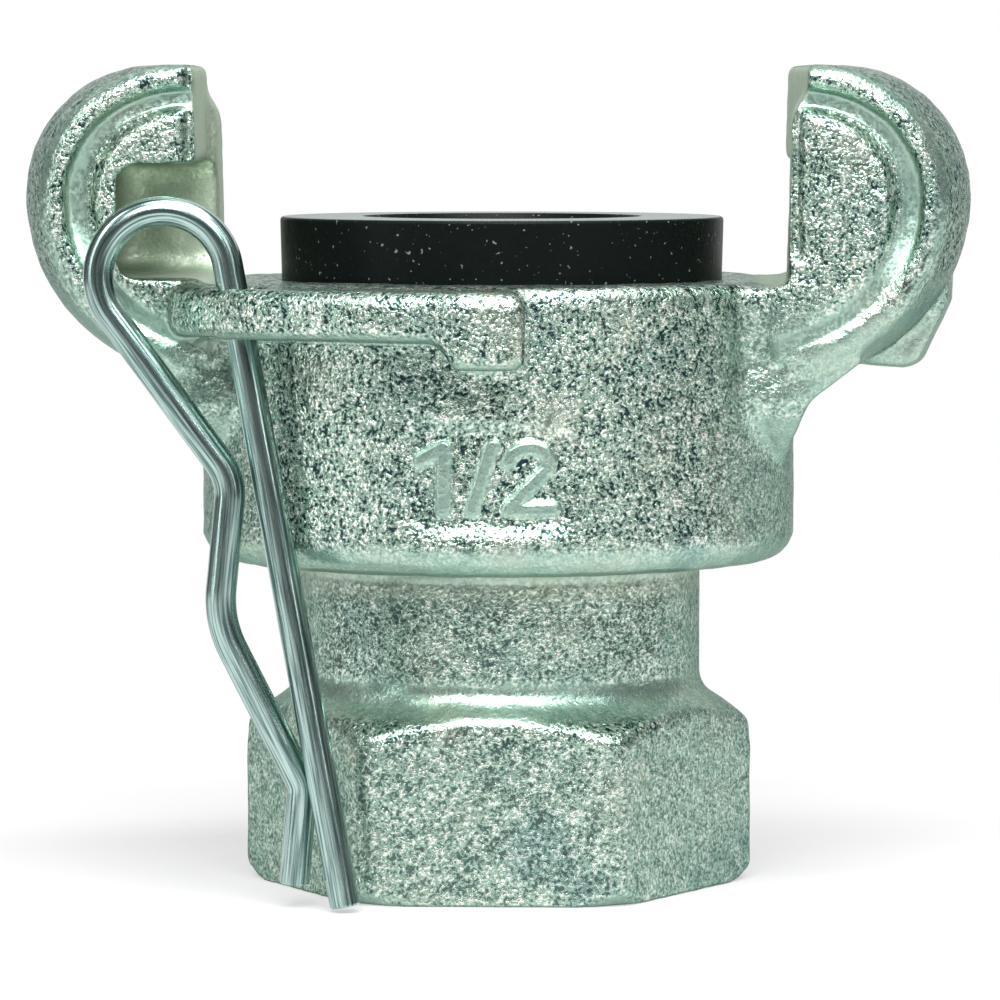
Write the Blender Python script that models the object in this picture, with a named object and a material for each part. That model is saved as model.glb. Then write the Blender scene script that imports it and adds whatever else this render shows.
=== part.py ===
"""Female pipe end of a twist-claw air hose coupling, with its sealing washer and safety clip.

Metres, +Z up. The hexagon stands on z = 0 and the bore's axis is the world Z axis. The claws lie
on the X axis. Seen along +Y, the left claw shows its open end and the right claw its closed wall,
and the safety clip hangs in the front ledge. The casting repeats itself after half a turn, apart
from the marking panel, which is on the front only, and the gate stub, which is on the right claw.
"""

import math

import bmesh
import bpy
from mathutils import Matrix, Vector

MM = 0.001

# Hexagon and neck
HEX_ACROSS_FLATS = 33.0 * MM
HEX_EDGE_RADIUS = 1.4 * MM
HEX_HEIGHT = 11.8 * MM
HEX_FOOT_CHAMFER = 1.3 * MM
HEX_SHOULDER_RADIUS = 1.4 * MM
SHOULDER_RISE = 2.8 * MM
NECK_RADIUS = 15.0 * MM
NECK_LENGTH = 8.7 * MM
NECK_FILLET = 1.8 * MM

# Head
HEAD_RADIUS = 22.0 * MM
HEAD_HEIGHT = 21.6 * MM
HEAD_LOWER_ROUND = 2.2 * MM
HEAD_UPPER_ROUND = 0.9 * MM

# Bore, from the threaded mouth up to the washer seat
THREAD_BORE_RADIUS = 9.3 * MM
THREAD_DEPTH = 15.5 * MM
THREAD_MOUTH_CHAMFER = 1.3 * MM
WATERWAY_RADIUS = 7.6 * MM
WATERWAY_TAPER = 3.0 * MM

# Sealing washer and its undercut seat
WASHER_RADIUS = 16.5 * MM
WASHER_TAPER = 0.15 * MM
WASHER_BORE_RADIUS = 9.5 * MM
WASHER_THICKNESS = 9.6 * MM
WASHER_STAND_OUT = 4.6 * MM
WASHER_FLANGE = 0.9 * MM
WASHER_FLANGE_HEIGHT = 3.0 * MM
WASHER_EDGE_RADIUS = 0.35 * MM
WASHER_BORE_CHAMFER = 1.2 * MM
SEAT_CLEARANCE = 0.3 * MM

# Claws: radii of the outline that is turned about the bore's axis
CLAW_WALL = 4.9 * MM
CLAW_RISE = 15.8 * MM
CLAW_CROWN_RADIUS = 9.6 * MM
CLAW_BELLY_RADIUS = 13.5 * MM
CLAW_ROOT_RADIUS = 7.85 * MM
CLAW_ROOT_SINK = 0.35 * MM
ROOT_LEAST_TURN = math.radians(2)
CLAW_TOE = 0.1 * MM
CLAW_WIDTH = 26.0 * MM
CLAW_EDGE_RADIUS = 1.0 * MM
CLAW_INNER_DRAFT = math.radians(1.2)
CLAW_INNER_DEPTH = 7.2 * MM
LIP_THICKNESS = 7.2 * MM
LIP_CLEARANCE = 0.1 * MM
LIP_SETBACK = 0.4 * MM
LIP_FLARE = math.radians(3.0)
END_WALL_THICKNESS = 4.5 * MM
END_WALL_DROP = 2.0 * MM
END_WALL_CHAMFER_HEIGHT = 1.5 * MM
END_WALL_CHAMFER_WIDTH = 1.0 * MM

# Channel under the lip, where the other coupling's ledge runs
CHANNEL_CLEARANCE = 2.2 * MM
CHANNEL_CORNER_RADIUS = 1.5 * MM
CHANNEL_FLOOR_RISE = 0.25 * MM

# Ridge and groove along the edge of each claw's end faces, from the crest round to the side
CREST_RIDGE_WIDTH = 2.0 * MM
SIDE_RIDGE_WIDTH = 1.2 * MM
CREST_GROOVE_WIDTH = 0.9 * MM
SIDE_GROOVE_WIDTH = 1.5 * MM
GROOVE_SLOPE = 0.5 * MM
GROOVE_DEPTH = 0.9 * MM
GROOVE_RUN_OUT = 1.4
GROOVE_FADE_FROM = 0.55

# Gate stub under the right claw, as angle below the level of the belly's centre and height
# over the belly
STUB_OUTLINE = ((18, -0.6), (32, 1.1), (51, 2.6), (56, 2.25), (66, 0.45), (72, -2.6), (24, -3.5))
STUB_WIDTH = 12.0 * MM
STUB_OFFSET = 2.0 * MM
STUB_DRAFT = 0.5 * MM

# Ledges, which the other coupling's claws ride on, and their stop blocks
LEDGE_OVERHANG = 6.0 * MM
LEDGE_THICKNESS = 3.6 * MM
LEDGE_DROP = 0.2 * MM
LEDGE_END_CUT = 4.8 * MM
LEDGE_END_RADIUS = 1.5 * MM
LEDGE_EDGE_RADIUS = 0.9 * MM
LEDGE_END_SHARE = 0.9
LEDGE_SINK = 3.0 * MM
STOP_HEIGHT = 5.5 * MM
STOP_WIDTH = 5.8 * MM
STOP_STAND_OUT = 0.5 * MM
PIN_HOLE_RADIUS = 2.1 * MM
PIN_HOLE_EDGE = 3.0 * MM
PIN_HOLE_END = 5.0 * MM

# Marking panel
PANEL_WIDTH = 12.9 * MM
PANEL_HEIGHT = 8.4 * MM
PANEL_DEPTH = 0.45 * MM
PANEL_CORNER_RADIUS = 1.2 * MM
PANEL_SLOPE = 0.4 * MM
PANEL_ABOVE_HEAD_FOOT = 7.9 * MM

# Safety clip, bent from round wire
WIRE_RADIUS = 1.1 * MM
CLIP_FLOOR_GAP = 0.2 * MM
CLIP_LEAN_SIDE = math.radians(10.5)
CLIP_FOOT_CLEARANCE = 1.64 * MM
CLIP_LOOP_RADIUS = 4.7 * MM
CLIP_LOOP_HEIGHT = 3.5 * MM
CLIP_LEG_GAP = 0.3 * MM
CLIP_PINCH_DEPTH = 11.7 * MM
CLIP_BULGE = 5.3 * MM
CLIP_BULGE_DEPTH = 21.5 * MM
CLIP_CROSSING = 1.6 * MM
CLIP_CROSSING_DEPTH = 34.3 * MM
CLIP_TIP = 3.5 * MM
CLIP_TIP_DEPTH = 41.2 * MM
CLIP_PINCH_RADIUS = 4.0 * MM
CLIP_BULGE_RADIUS = 8.0 * MM
CLIP_CROSSING_RADIUS = 2.2 * MM
CLIP_BULGE_BEHIND = 0.1
CLIP_TIP_BEHIND = 1.15

# Plain colours of the three finishes
CASTING_COLOUR = (0.36, 0.44, 0.42)
RUBBER_COLOUR = (0.012, 0.014, 0.015)
WIRE_COLOUR = (0.46, 0.55, 0.56)
SMOOTH_UNDER = math.radians(30)

# Fineness of the round shapes
ROUND_SEGMENTS = 72
BORE_SEGMENTS = 48
HOLE_SEGMENTS = 24
FILLET_STEPS = 3
CREST_STEPS = 9
ROOT_STEPS = 6
CLAW_STATIONS = 4
CHANNEL_STATIONS = 6
GROOVE_STEPS = 12
LEDGE_STATIONS = 9
PANEL_STATIONS = 3
LOOP_STEPS = 26
BEND_STEPS = 6
WIRE_BEVEL_STEPS = 3
MOST_TRIM = 0.49
OVERSHOOT = 2.0 * MM

# Heights and centres that follow from the sizes above
HEX_CORNER_RADIUS = HEX_ACROSS_FLATS / math.sqrt(3)
NECK_FOOT_Z = HEX_HEIGHT + SHOULDER_RISE
HEAD_FOOT_Z = NECK_FOOT_Z + NECK_LENGTH
RIM_Z = HEAD_FOOT_Z + HEAD_HEIGHT
WASHER_TOP_Z = RIM_Z + WASHER_STAND_OUT
WASHER_FOOT_Z = WASHER_TOP_Z - WASHER_THICKNESS
LEDGE_RADIUS = HEAD_RADIUS + LEDGE_OVERHANG
LEDGE_END_X = LEDGE_RADIUS - LEDGE_END_CUT
CHANNEL_RADIUS = LEDGE_RADIUS + CHANNEL_CLEARANCE
CLAW_REACH = CHANNEL_RADIUS + CLAW_WALL
CREST_Z = RIM_Z + CLAW_RISE
CROWN_X = CLAW_REACH - CLAW_CROWN_RADIUS
BELLY_X = CLAW_REACH - CLAW_BELLY_RADIUS
BELLY_Z = CREST_Z - CLAW_CROWN_RADIUS
ROOT_X = HEAD_RADIUS - CLAW_ROOT_SINK + CLAW_ROOT_RADIUS
ROOT_Z = BELLY_Z - math.sqrt((CLAW_BELLY_RADIUS + CLAW_ROOT_RADIUS) ** 2 - (ROOT_X - BELLY_X) ** 2)
ROOT_ANGLE = math.atan2(ROOT_Z - BELLY_Z, ROOT_X - BELLY_X)
LIP_INNER_X = HEAD_RADIUS + LIP_CLEARANCE
WALL_INNER_X = LIP_INNER_X - LIP_SETBACK
ROOT_INNER_X = WALL_INNER_X - (CLAW_RISE + CLAW_INNER_DEPTH) * math.tan(CLAW_INNER_DRAFT)
CHANNEL_FLOOR_Z = RIM_Z + CHANNEL_FLOOR_RISE
LEDGE_TOP_Z = RIM_Z - LEDGE_DROP
HALF_WIDTH = CLAW_WIDTH / 2
PIN_HOLE_X = LEDGE_END_X - PIN_HOLE_END
PIN_HOLE_Y = -math.sqrt((LEDGE_RADIUS - PIN_HOLE_EDGE) ** 2 - PIN_HOLE_X**2)
PIN_HOLE_Z = LEDGE_TOP_Z - LEDGE_THICKNESS / 2
CLIP_FOOT_Y = -(HEX_ACROSS_FLATS / 2 + CLIP_FOOT_CLEARANCE + WIRE_RADIUS)
CLIP_LEAN_FORWARD = math.atan((PIN_HOLE_Y - CLIP_FOOT_Y) / PIN_HOLE_Z)


def clear_scene():
    """Remove every object that the scene starts with."""
    for obj in list(bpy.data.objects):
        bpy.data.objects.remove(obj, do_unlink=True)


def make_material(name, colour, metallic, roughness):
    """Return a Principled material with one plain colour."""
    material = bpy.data.materials.new(name)
    material.use_nodes = True
    shader = material.node_tree.nodes["Principled BSDF"]
    shader.inputs["Base Color"].default_value = (*colour, 1.0)
    shader.inputs["Metallic"].default_value = metallic
    shader.inputs["Roughness"].default_value = roughness
    return material


def rounded_path(corners, steps=FILLET_STEPS):
    """Return the points of a path whose corners, given as (point, radius), are rounded."""
    points = [Vector(corners[0][0])]
    for (before, _), (corner, radius), (after, _) in zip(corners, corners[1:], corners[2:]):
        corner = Vector(corner)
        back = Vector(before) - corner
        ahead = Vector(after) - corner
        half_angle = back.angle(ahead) / 2
        trim = min(radius / math.tan(half_angle), MOST_TRIM * back.length, MOST_TRIM * ahead.length)
        if trim <= 0:
            points.append(corner)
            continue
        radius = trim * math.tan(half_angle)
        start = corner + back.normalized() * trim
        end = corner + ahead.normalized() * trim
        middle = (back.normalized() + ahead.normalized()).normalized()
        centre = corner + middle * (radius / math.sin(half_angle))
        first, last = start - centre, end - centre
        turn = first.angle(last)
        for step in range(steps + 1):
            share = step / steps
            spoke = first * math.sin((1 - share) * turn) + last * math.sin(share * turn)
            points.append(centre + spoke / math.sin(turn))
    points.append(Vector(corners[-1][0]))
    return points


def quarter_round(radius):
    """Return (distance from the face, inset) along a rounded edge, from the face inwards."""
    angles = [math.pi / 2 * step / FILLET_STEPS for step in range(FILLET_STEPS + 1)]
    return [(radius * (1 - math.cos(angle)), radius * (1 - math.sin(angle))) for angle in angles]


def mesh_object(name, points, faces):
    """Return a mesh object with its faces pointing out."""
    mesh = bpy.data.meshes.new(name)
    mesh.from_pydata([tuple(point) for point in points], [], faces)
    shell = bmesh.new()
    shell.from_mesh(mesh)
    bmesh.ops.recalc_face_normals(shell, faces=shell.faces)
    if shell.calc_volume(signed=True) < 0:
        bmesh.ops.reverse_faces(shell, faces=shell.faces)
    shell.to_mesh(mesh)
    shell.free()
    obj = bpy.data.objects.new(name, mesh)
    bpy.context.scene.collection.objects.link(obj)
    return obj


def loft(name, sections, ring=False):
    """Return a solid through equal closed sections: capped at both ends, or joined as a ring."""
    count = len(sections[0])
    points = [point for section in sections for point in section]
    faces = []
    last = len(sections) if ring else len(sections) - 1
    for row in range(last):
        here = row * count
        there = (row + 1) % len(sections) * count
        for i in range(count):
            j = (i + 1) % count
            faces.append((here + i, here + j, there + j, there + i))
    if not ring:
        faces.append(tuple(range(count)))
        faces.append(tuple(range(last * count, last * count + count)))
    return mesh_object(name, points, faces)


def circle(radius, z, segments=ROUND_SEGMENTS):
    """Return the points of a level circle about the bore's axis."""
    turns = [2 * math.pi * i / segments for i in range(segments)]
    return [(radius * math.cos(turn), radius * math.sin(turn), z) for turn in turns]


def turned(name, profile, segments=ROUND_SEGMENTS, ring=False):
    """Return a profile of (radius, z) points turned about the bore's axis."""
    return loft(name, [circle(point[0], point[1], segments) for point in profile], ring)


def helper(obj):
    """Mark an object as a cutter or a piece that another object takes in."""
    obj.hide_render = True
    obj.display_type = "WIRE"
    return obj


def combine(obj, other, operation):
    """Add a Boolean with another object, which turns into a helper."""
    modifier = obj.modifiers.new(f"{operation.title()} {other.name}", "BOOLEAN")
    modifier.operation = operation
    modifier.solver = "EXACT"
    modifier.object = helper(other)


def half_turn(obj, name):
    """Return a copy of an object, turned by half a turn about the bore's axis."""
    copy = bpy.data.objects.new(name, obj.data)
    copy.matrix_world = Matrix.Rotation(math.pi, 4, "Z")
    bpy.context.scene.collection.objects.link(copy)
    return copy


def at_radius(radius, y):
    """Return x where a circle of this radius about the bore's axis meets the plane at y."""
    return math.sqrt(max(radius**2 - y**2, 0.0))


def hexagon(z, scale=1.0):
    """Return a level hexagon with rounded corners and a flat towards the front."""
    reach = HEX_CORNER_RADIUS * scale
    turns = [math.pi / 3 * i for i in range(8)]
    places = [(reach * math.cos(turn), reach * math.sin(turn), z) for turn in turns]
    return rounded_path([(place, HEX_EDGE_RADIUS) for place in places])[1:-1]


def barrel():
    """Return the hexagon, neck and head in one solid, before anything is added or cut."""
    corners = (
        ((HEX_CORNER_RADIUS - HEX_FOOT_CHAMFER, 0.0), 0.0),
        ((HEX_CORNER_RADIUS, HEX_FOOT_CHAMFER), HEX_FOOT_CHAMFER / 2),
        ((HEX_CORNER_RADIUS, HEX_HEIGHT), HEX_SHOULDER_RADIUS),
        ((NECK_RADIUS, NECK_FOOT_Z), NECK_FILLET),
        ((NECK_RADIUS, HEAD_FOOT_Z), NECK_FILLET / 2),
        ((HEAD_RADIUS, HEAD_FOOT_Z), HEAD_LOWER_ROUND),
        ((HEAD_RADIUS, RIM_Z), HEAD_UPPER_ROUND),
        ((WASHER_RADIUS, RIM_Z), 0.0),
    )
    body = turned("coupling_body", rounded_path(corners))
    low = -OVERSHOOT
    high = NECK_FOOT_Z
    outside = 2.0
    rings = [hexagon(low), hexagon(high), hexagon(high, outside), hexagon(low, outside)]
    combine(body, loft("hexagon_cutter", rings, ring=True), "DIFFERENCE")
    return body


def claw_outline(y, inset):
    """Return the claw's outline in the plane at y, from the lip round the outside to the head.

    The crown, belly and root are arcs that meet smoothly. They are turned about the bore's axis,
    so each section is the same outline seen at its own distance from the middle.
    """
    crown = CLAW_CROWN_RADIUS - inset
    belly = CLAW_BELLY_RADIUS - inset
    root = CLAW_ROOT_RADIUS + inset
    inner_x = WALL_INNER_X + inset
    root_inner_x = ROOT_INNER_X + inset
    first_radius = math.hypot(inner_x + CLAW_EDGE_RADIUS, y)
    first = math.acos(min(max((first_radius - CROWN_X) / crown, 0.0), 1.0))
    root_start = ROOT_ANGLE + math.pi
    last = math.acos(max((math.hypot(root_inner_x, y) - ROOT_X) / root, -1.0))
    last = max(last, root_start + ROOT_LEAST_TURN)
    arcs = (
        (CROWN_X, BELLY_Z, crown, first, 0.0, CREST_STEPS),
        (BELLY_X, BELLY_Z, belly, 0.0, ROOT_ANGLE, CREST_STEPS),
        (ROOT_X, ROOT_Z, root, root_start, last, ROOT_STEPS),
    )
    points = [Vector((inner_x, y, CREST_Z - inset))]
    for centre_x, centre_z, radius, start, end, steps in arcs:
        for step in range(steps + 1):
            if step == 0 and len(points) > 1:
                continue
            angle = start + (end - start) * step / steps
            x = at_radius(centre_x + radius * math.cos(angle), y)
            points.append(Vector((x, y, centre_z + radius * math.sin(angle))))
    end = points[-1]
    points.append(Vector((min(root_inner_x, end.x) - CLAW_TOE, y, end.z)))
    return points


def claw_block():
    """Return the right claw as a solid block with rounded ends, before its channel is cut."""
    edge = quarter_round(CLAW_EDGE_RADIUS)
    ends = [(HALF_WIDTH - distance, inset) for distance, inset in edge]
    inner = [(HALF_WIDTH * step / CLAW_STATIONS, 0.0) for step in range(CLAW_STATIONS - 1, 0, -1)]
    back = ends + inner
    front = [(-y, inset) for y, inset in reversed(back)]
    stations = back + [(0.0, 0.0)] + front
    return loft("claw_block", [claw_outline(y, inset) for y, inset in stations])


def channel_cutter():
    """Return the hollow under the right claw's lip, open at the back and closed by the end wall."""
    inner_x = HEAD_RADIUS / 2
    ceiling_z = CREST_Z - LIP_THICKNESS
    wall_y = END_WALL_THICKNESS - HALF_WIDTH
    edge = quarter_round(CHANNEL_CORNER_RADIUS)
    stations = [(wall_y + distance, inset) for distance, inset in edge]
    length = HALF_WIDTH + OVERSHOOT - wall_y
    for step in range(1, CHANNEL_STATIONS + 1):
        stations.append((wall_y + length * step / CHANNEL_STATIONS, 0.0))
    sections = []
    for y, inset in stations:
        outer_x = at_radius(CHANNEL_RADIUS - inset, y)
        low, high = CHANNEL_FLOOR_Z + inset, ceiling_z - inset
        corners = (
            ((inner_x, y, low), 0.0),
            ((outer_x, y, low), CHANNEL_CORNER_RADIUS),
            ((outer_x, y, high), CHANNEL_CORNER_RADIUS),
            ((inner_x, y, high), 0.0),
        )
        sections.append(rounded_path(corners))
    return loft("channel_cutter", sections)


def lip_trim():
    """Return the cutter that sets the lip back, with the chamfered step to the end wall's top.

    The lip's inner face flares towards the end wall, so the lips lead the other coupling in.
    """
    beyond = HALF_WIDTH + OVERSHOOT
    step_y = END_WALL_THICKNESS + CHANNEL_CORNER_RADIUS / 2 - HALF_WIDTH
    low_z = CREST_Z - LIP_THICKNESS - CHANNEL_CORNER_RADIUS
    wall_top_z = CREST_Z - END_WALL_DROP
    top_z = CREST_Z + OVERSHOOT
    flare = math.tan(LIP_FLARE)
    sections = []
    for face_x, slope, drop in (
        (HEAD_RADIUS / 2, 0.0, END_WALL_CHAMFER_HEIGHT),
        (LIP_INNER_X - END_WALL_CHAMFER_WIDTH, flare, END_WALL_CHAMFER_HEIGHT),
        (LIP_INNER_X, flare, 0.0),
    ):
        outline = (
            (-beyond, wall_top_z - drop),
            (-beyond, top_z),
            (beyond, top_z),
            (beyond, low_z),
            (step_y, low_z),
            (step_y, wall_top_z - drop),
        )
        sections.append([(face_x - y * slope, y, z) for y, z in outline])
    return loft("lip_trim", sections)


def groove_cutter(side):
    """Return the groove inside the ridge of the right claw's front (-1) or back (1) end face."""
    top = HALF_WIDTH + OVERSHOOT / 2
    stations = []
    for step in range(GROOVE_STEPS + 1):
        share = step / GROOVE_STEPS
        stations.append((CROWN_X, CLAW_CROWN_RADIUS, math.pi / 2 * (1 - share), share, 0.0))
    for step in range(1, GROOVE_STEPS + 1):
        share = step / GROOVE_STEPS
        fade = max(0.0, (share - GROOVE_FADE_FROM) / (1 - GROOVE_FADE_FROM))
        stations.append((BELLY_X, CLAW_BELLY_RADIUS, ROOT_ANGLE * share, 1.0, fade))

    sections = []
    for centre_x, arc_radius, angle, sideways, fade in stations:
        floor = HALF_WIDTH - GROOVE_DEPTH * (1 - GROOVE_RUN_OUT * fade)
        ridge = CREST_RIDGE_WIDTH + (SIDE_RIDGE_WIDTH - CREST_RIDGE_WIDTH) * sideways
        width = CREST_GROOVE_WIDTH + (SIDE_GROOVE_WIDTH - CREST_GROOVE_WIDTH) * sideways
        section = []
        for inset, y in (
            (ridge - GROOVE_SLOPE, top),
            (ridge, floor),
            (ridge + width, floor),
            (ridge + width + GROOVE_SLOPE, top),
        ):
            radius = arc_radius - inset
            x = at_radius(centre_x + radius * math.cos(angle), HALF_WIDTH)
            section.append(Vector((x, side * y, BELLY_Z + radius * math.sin(angle))))
        sections.append(section)
    run_out = Vector((-WALL_INNER_X / 2, 0.0, 0.0))
    sections.insert(0, [point + run_out for point in sections[0]])
    name = "front_groove_cutter" if side < 0 else "back_groove_cutter"
    return loft(name, sections)


def right_claw():
    """Return the right claw with its channel, its set-back lip and the grooves of its ends."""
    claw = claw_block()
    combine(claw, channel_cutter(), "DIFFERENCE")
    combine(claw, lip_trim(), "DIFFERENCE")
    for side in (-1, 1):
        combine(claw, groove_cutter(side), "DIFFERENCE")
    return claw


def gate_stub():
    """Return the ground stub that the casting's gate left under the right claw."""
    sections = []
    for share, draft in ((-0.5, STUB_DRAFT), (0.0, 0.0), (0.5, STUB_DRAFT)):
        y = STUB_OFFSET + share * STUB_WIDTH
        section = []
        for degrees, height in STUB_OUTLINE:
            angle = math.radians(-degrees)
            radius = CLAW_BELLY_RADIUS + height * MM - draft
            x = at_radius(BELLY_X + radius * math.cos(angle), y)
            section.append((x, y, BELLY_Z + radius * math.sin(angle)))
        sections.append(section)
    return loft("gate_stub", sections)


def ledge():
    """Return the front ledge: an arc on the head from the stop block to the lug of the clip."""
    stop_turn = STOP_WIDTH / 2 / LEDGE_RADIUS
    end_turn = math.asin(LEDGE_END_X / LEDGE_RADIUS)
    thin_turn = stop_turn + LEDGE_EDGE_RADIUS / LEDGE_RADIUS
    inner_radius = HEAD_RADIUS - LEDGE_SINK
    stop_radius = LEDGE_RADIUS + STOP_STAND_OUT
    stations = []
    for distance, inset in quarter_round(LEDGE_EDGE_RADIUS):
        turn = -stop_turn + distance / LEDGE_RADIUS
        stations.append((turn, stop_radius, STOP_HEIGHT, inset))
    for distance, inset in reversed(quarter_round(LEDGE_EDGE_RADIUS)[1:]):
        turn = stop_turn - distance / LEDGE_RADIUS
        height = STOP_HEIGHT - inset * (STOP_HEIGHT - LEDGE_THICKNESS) / LEDGE_EDGE_RADIUS
        stations.append((turn, stop_radius - inset * STOP_STAND_OUT / LEDGE_EDGE_RADIUS, height, 0.0))
    for step in range(LEDGE_STATIONS):
        turn = thin_turn + (end_turn - thin_turn) * step / (LEDGE_STATIONS + 1)
        stations.append((turn, LEDGE_RADIUS, LEDGE_THICKNESS, 0.0))

    outer = []
    for turn, radius, height, inset in stations:
        spoke = Vector((-math.sin(turn), -math.cos(turn), 0.0))
        outer.append((spoke * (radius - inset), height, inset))
    end_y = -at_radius(LEDGE_RADIUS, LEDGE_END_X)
    corners = (
        (outer[-1][0], 0.0),
        ((-LEDGE_END_X, end_y, 0.0), LEDGE_END_RADIUS),
        ((-LEDGE_END_X, -HALF_WIDTH + OVERSHOOT, 0.0), 0.0),
    )
    for point in rounded_path(corners)[1:]:
        outer.append((point, LEDGE_THICKNESS, 0.0))

    sections = []
    for point, height, inset in outer:
        turn = math.atan2(-point.x, -point.y)
        inner = Vector((-math.sin(turn), -math.cos(turn), 0.0)) * inner_radius
        low, high = LEDGE_TOP_Z - height + inset, LEDGE_TOP_Z - inset
        up = Vector((0.0, 0.0, 1.0))
        path = (
            (inner + up * low, 0.0),
            (point + up * low, LEDGE_EDGE_RADIUS - inset * LEDGE_END_SHARE),
            (point + up * high, LEDGE_EDGE_RADIUS - inset * LEDGE_END_SHARE),
            (inner + up * high, 0.0),
        )
        sections.append(rounded_path(path))
    return loft("ledge", sections)


def pin_hole_cutter():
    """Return the drill for the clip's hole in the front ledge."""
    ends = ((PIN_HOLE_RADIUS, -STOP_HEIGHT), (PIN_HOLE_RADIUS, STOP_HEIGHT))
    drill = turned("pin_hole_cutter", ends, HOLE_SEGMENTS)
    drill.data.transform(Matrix.Translation((-PIN_HOLE_X, PIN_HOLE_Y, LEDGE_TOP_Z)))
    return drill


def panel_cutter():
    """Return the recess of the marking panel, which follows the head's round face."""
    centre_z = HEAD_FOOT_Z + PANEL_ABOVE_HEAD_FOOT
    half_width = PANEL_WIDTH / 2
    edge = quarter_round(PANEL_CORNER_RADIUS)
    right = [(half_width - distance, inset) for distance, inset in edge]
    for step in range(PANEL_STATIONS - 1, 0, -1):
        right.append((half_width * step / PANEL_STATIONS, 0.0))
    stations = [(-s, inset) for s, inset in right] + [(0.0, 0.0)] + list(reversed(right))
    outside = HEAD_RADIUS + OVERSHOOT
    floor = HEAD_RADIUS - PANEL_DEPTH
    sections = []
    for along, inset in stations:
        half_height = PANEL_HEIGHT / 2 - inset
        section = []
        for radius, slope, side in ((floor, 1, -1), (outside, 0, -1), (outside, 0, 1), (floor, 1, 1)):
            turn = along / HEAD_RADIUS * (1 - slope * PANEL_SLOPE / half_width)
            z = centre_z + side * (half_height - slope * PANEL_SLOPE)
            section.append((radius * math.sin(turn), -radius * math.cos(turn), z))
        sections.append(section)
    return loft("panel_cutter", sections)


def bore_cutter():
    """Return the inside of the casting: thread bore, waterway and undercut washer seat."""
    seat_foot_z = WASHER_FOOT_Z - SEAT_CLEARANCE
    seat_radius = WASHER_RADIUS + WASHER_FLANGE + SEAT_CLEARANCE
    mouth_radius = WASHER_RADIUS + SEAT_CLEARANCE
    undercut_z = WASHER_FOOT_Z + WASHER_FLANGE_HEIGHT + SEAT_CLEARANCE
    profile = (
        (THREAD_BORE_RADIUS + THREAD_MOUTH_CHAMFER, -OVERSHOOT),
        (THREAD_BORE_RADIUS + THREAD_MOUTH_CHAMFER, 0.0),
        (THREAD_BORE_RADIUS, THREAD_MOUTH_CHAMFER),
        (THREAD_BORE_RADIUS, THREAD_DEPTH),
        (WATERWAY_RADIUS, THREAD_DEPTH + WATERWAY_TAPER),
        (WATERWAY_RADIUS, seat_foot_z),
        (seat_radius, seat_foot_z),
        (seat_radius, undercut_z),
        (mouth_radius, undercut_z + WASHER_FLANGE),
        (mouth_radius, RIM_Z + OVERSHOOT),
    )
    return turned("bore_cutter", profile, BORE_SEGMENTS)


def left_claw_of(claw):
    """Return the left claw, which is the right one after half a turn, with the same cuts."""
    copy = claw.copy()
    copy.name = "left_claw"
    bpy.context.scene.collection.objects.link(copy)
    copy.matrix_world = Matrix.Rotation(math.pi, 4, "Z")
    for modifier in copy.modifiers:
        modifier.object = helper(half_turn(modifier.object, f"left_{modifier.object.name}"))
    return copy


def coupling_body():
    """Return the whole casting."""
    body = barrel()
    claw = right_claw()
    combine(body, claw, "UNION")
    combine(body, left_claw_of(claw), "UNION")
    front_ledge = ledge()
    combine(body, half_turn(front_ledge, "back_ledge"), "UNION")
    combine(body, front_ledge, "UNION")
    combine(body, gate_stub(), "UNION")
    drill = pin_hole_cutter()
    combine(body, half_turn(drill, "back_pin_hole_cutter"), "DIFFERENCE")
    combine(body, drill, "DIFFERENCE")
    combine(body, panel_cutter(), "DIFFERENCE")
    combine(body, bore_cutter(), "DIFFERENCE")
    return body


def sealing_washer():
    """Return the rubber washer with the flange that its seat holds back."""
    rim_radius = WASHER_RADIUS - WASHER_TAPER
    flange_radius = WASHER_RADIUS + WASHER_FLANGE
    flange_z = WASHER_FOOT_Z + WASHER_FLANGE_HEIGHT
    bore = WASHER_BORE_RADIUS
    corners = (
        ((bore + WASHER_BORE_CHAMFER, WASHER_FOOT_Z), 0.0),
        ((flange_radius, WASHER_FOOT_Z), 0.0),
        ((flange_radius, flange_z), 0.0),
        ((rim_radius, flange_z + WASHER_FLANGE), 0.0),
        ((WASHER_RADIUS, WASHER_TOP_Z), WASHER_EDGE_RADIUS),
        ((bore + WASHER_BORE_CHAMFER, WASHER_TOP_Z), WASHER_EDGE_RADIUS),
        ((bore, WASHER_TOP_Z - WASHER_BORE_CHAMFER), 0.0),
        ((bore, WASHER_FOOT_Z + WASHER_BORE_CHAMFER), 0.0),
    )
    return turned("sealing_washer", rounded_path(corners, 2), BORE_SEGMENTS, ring=True)


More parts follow.
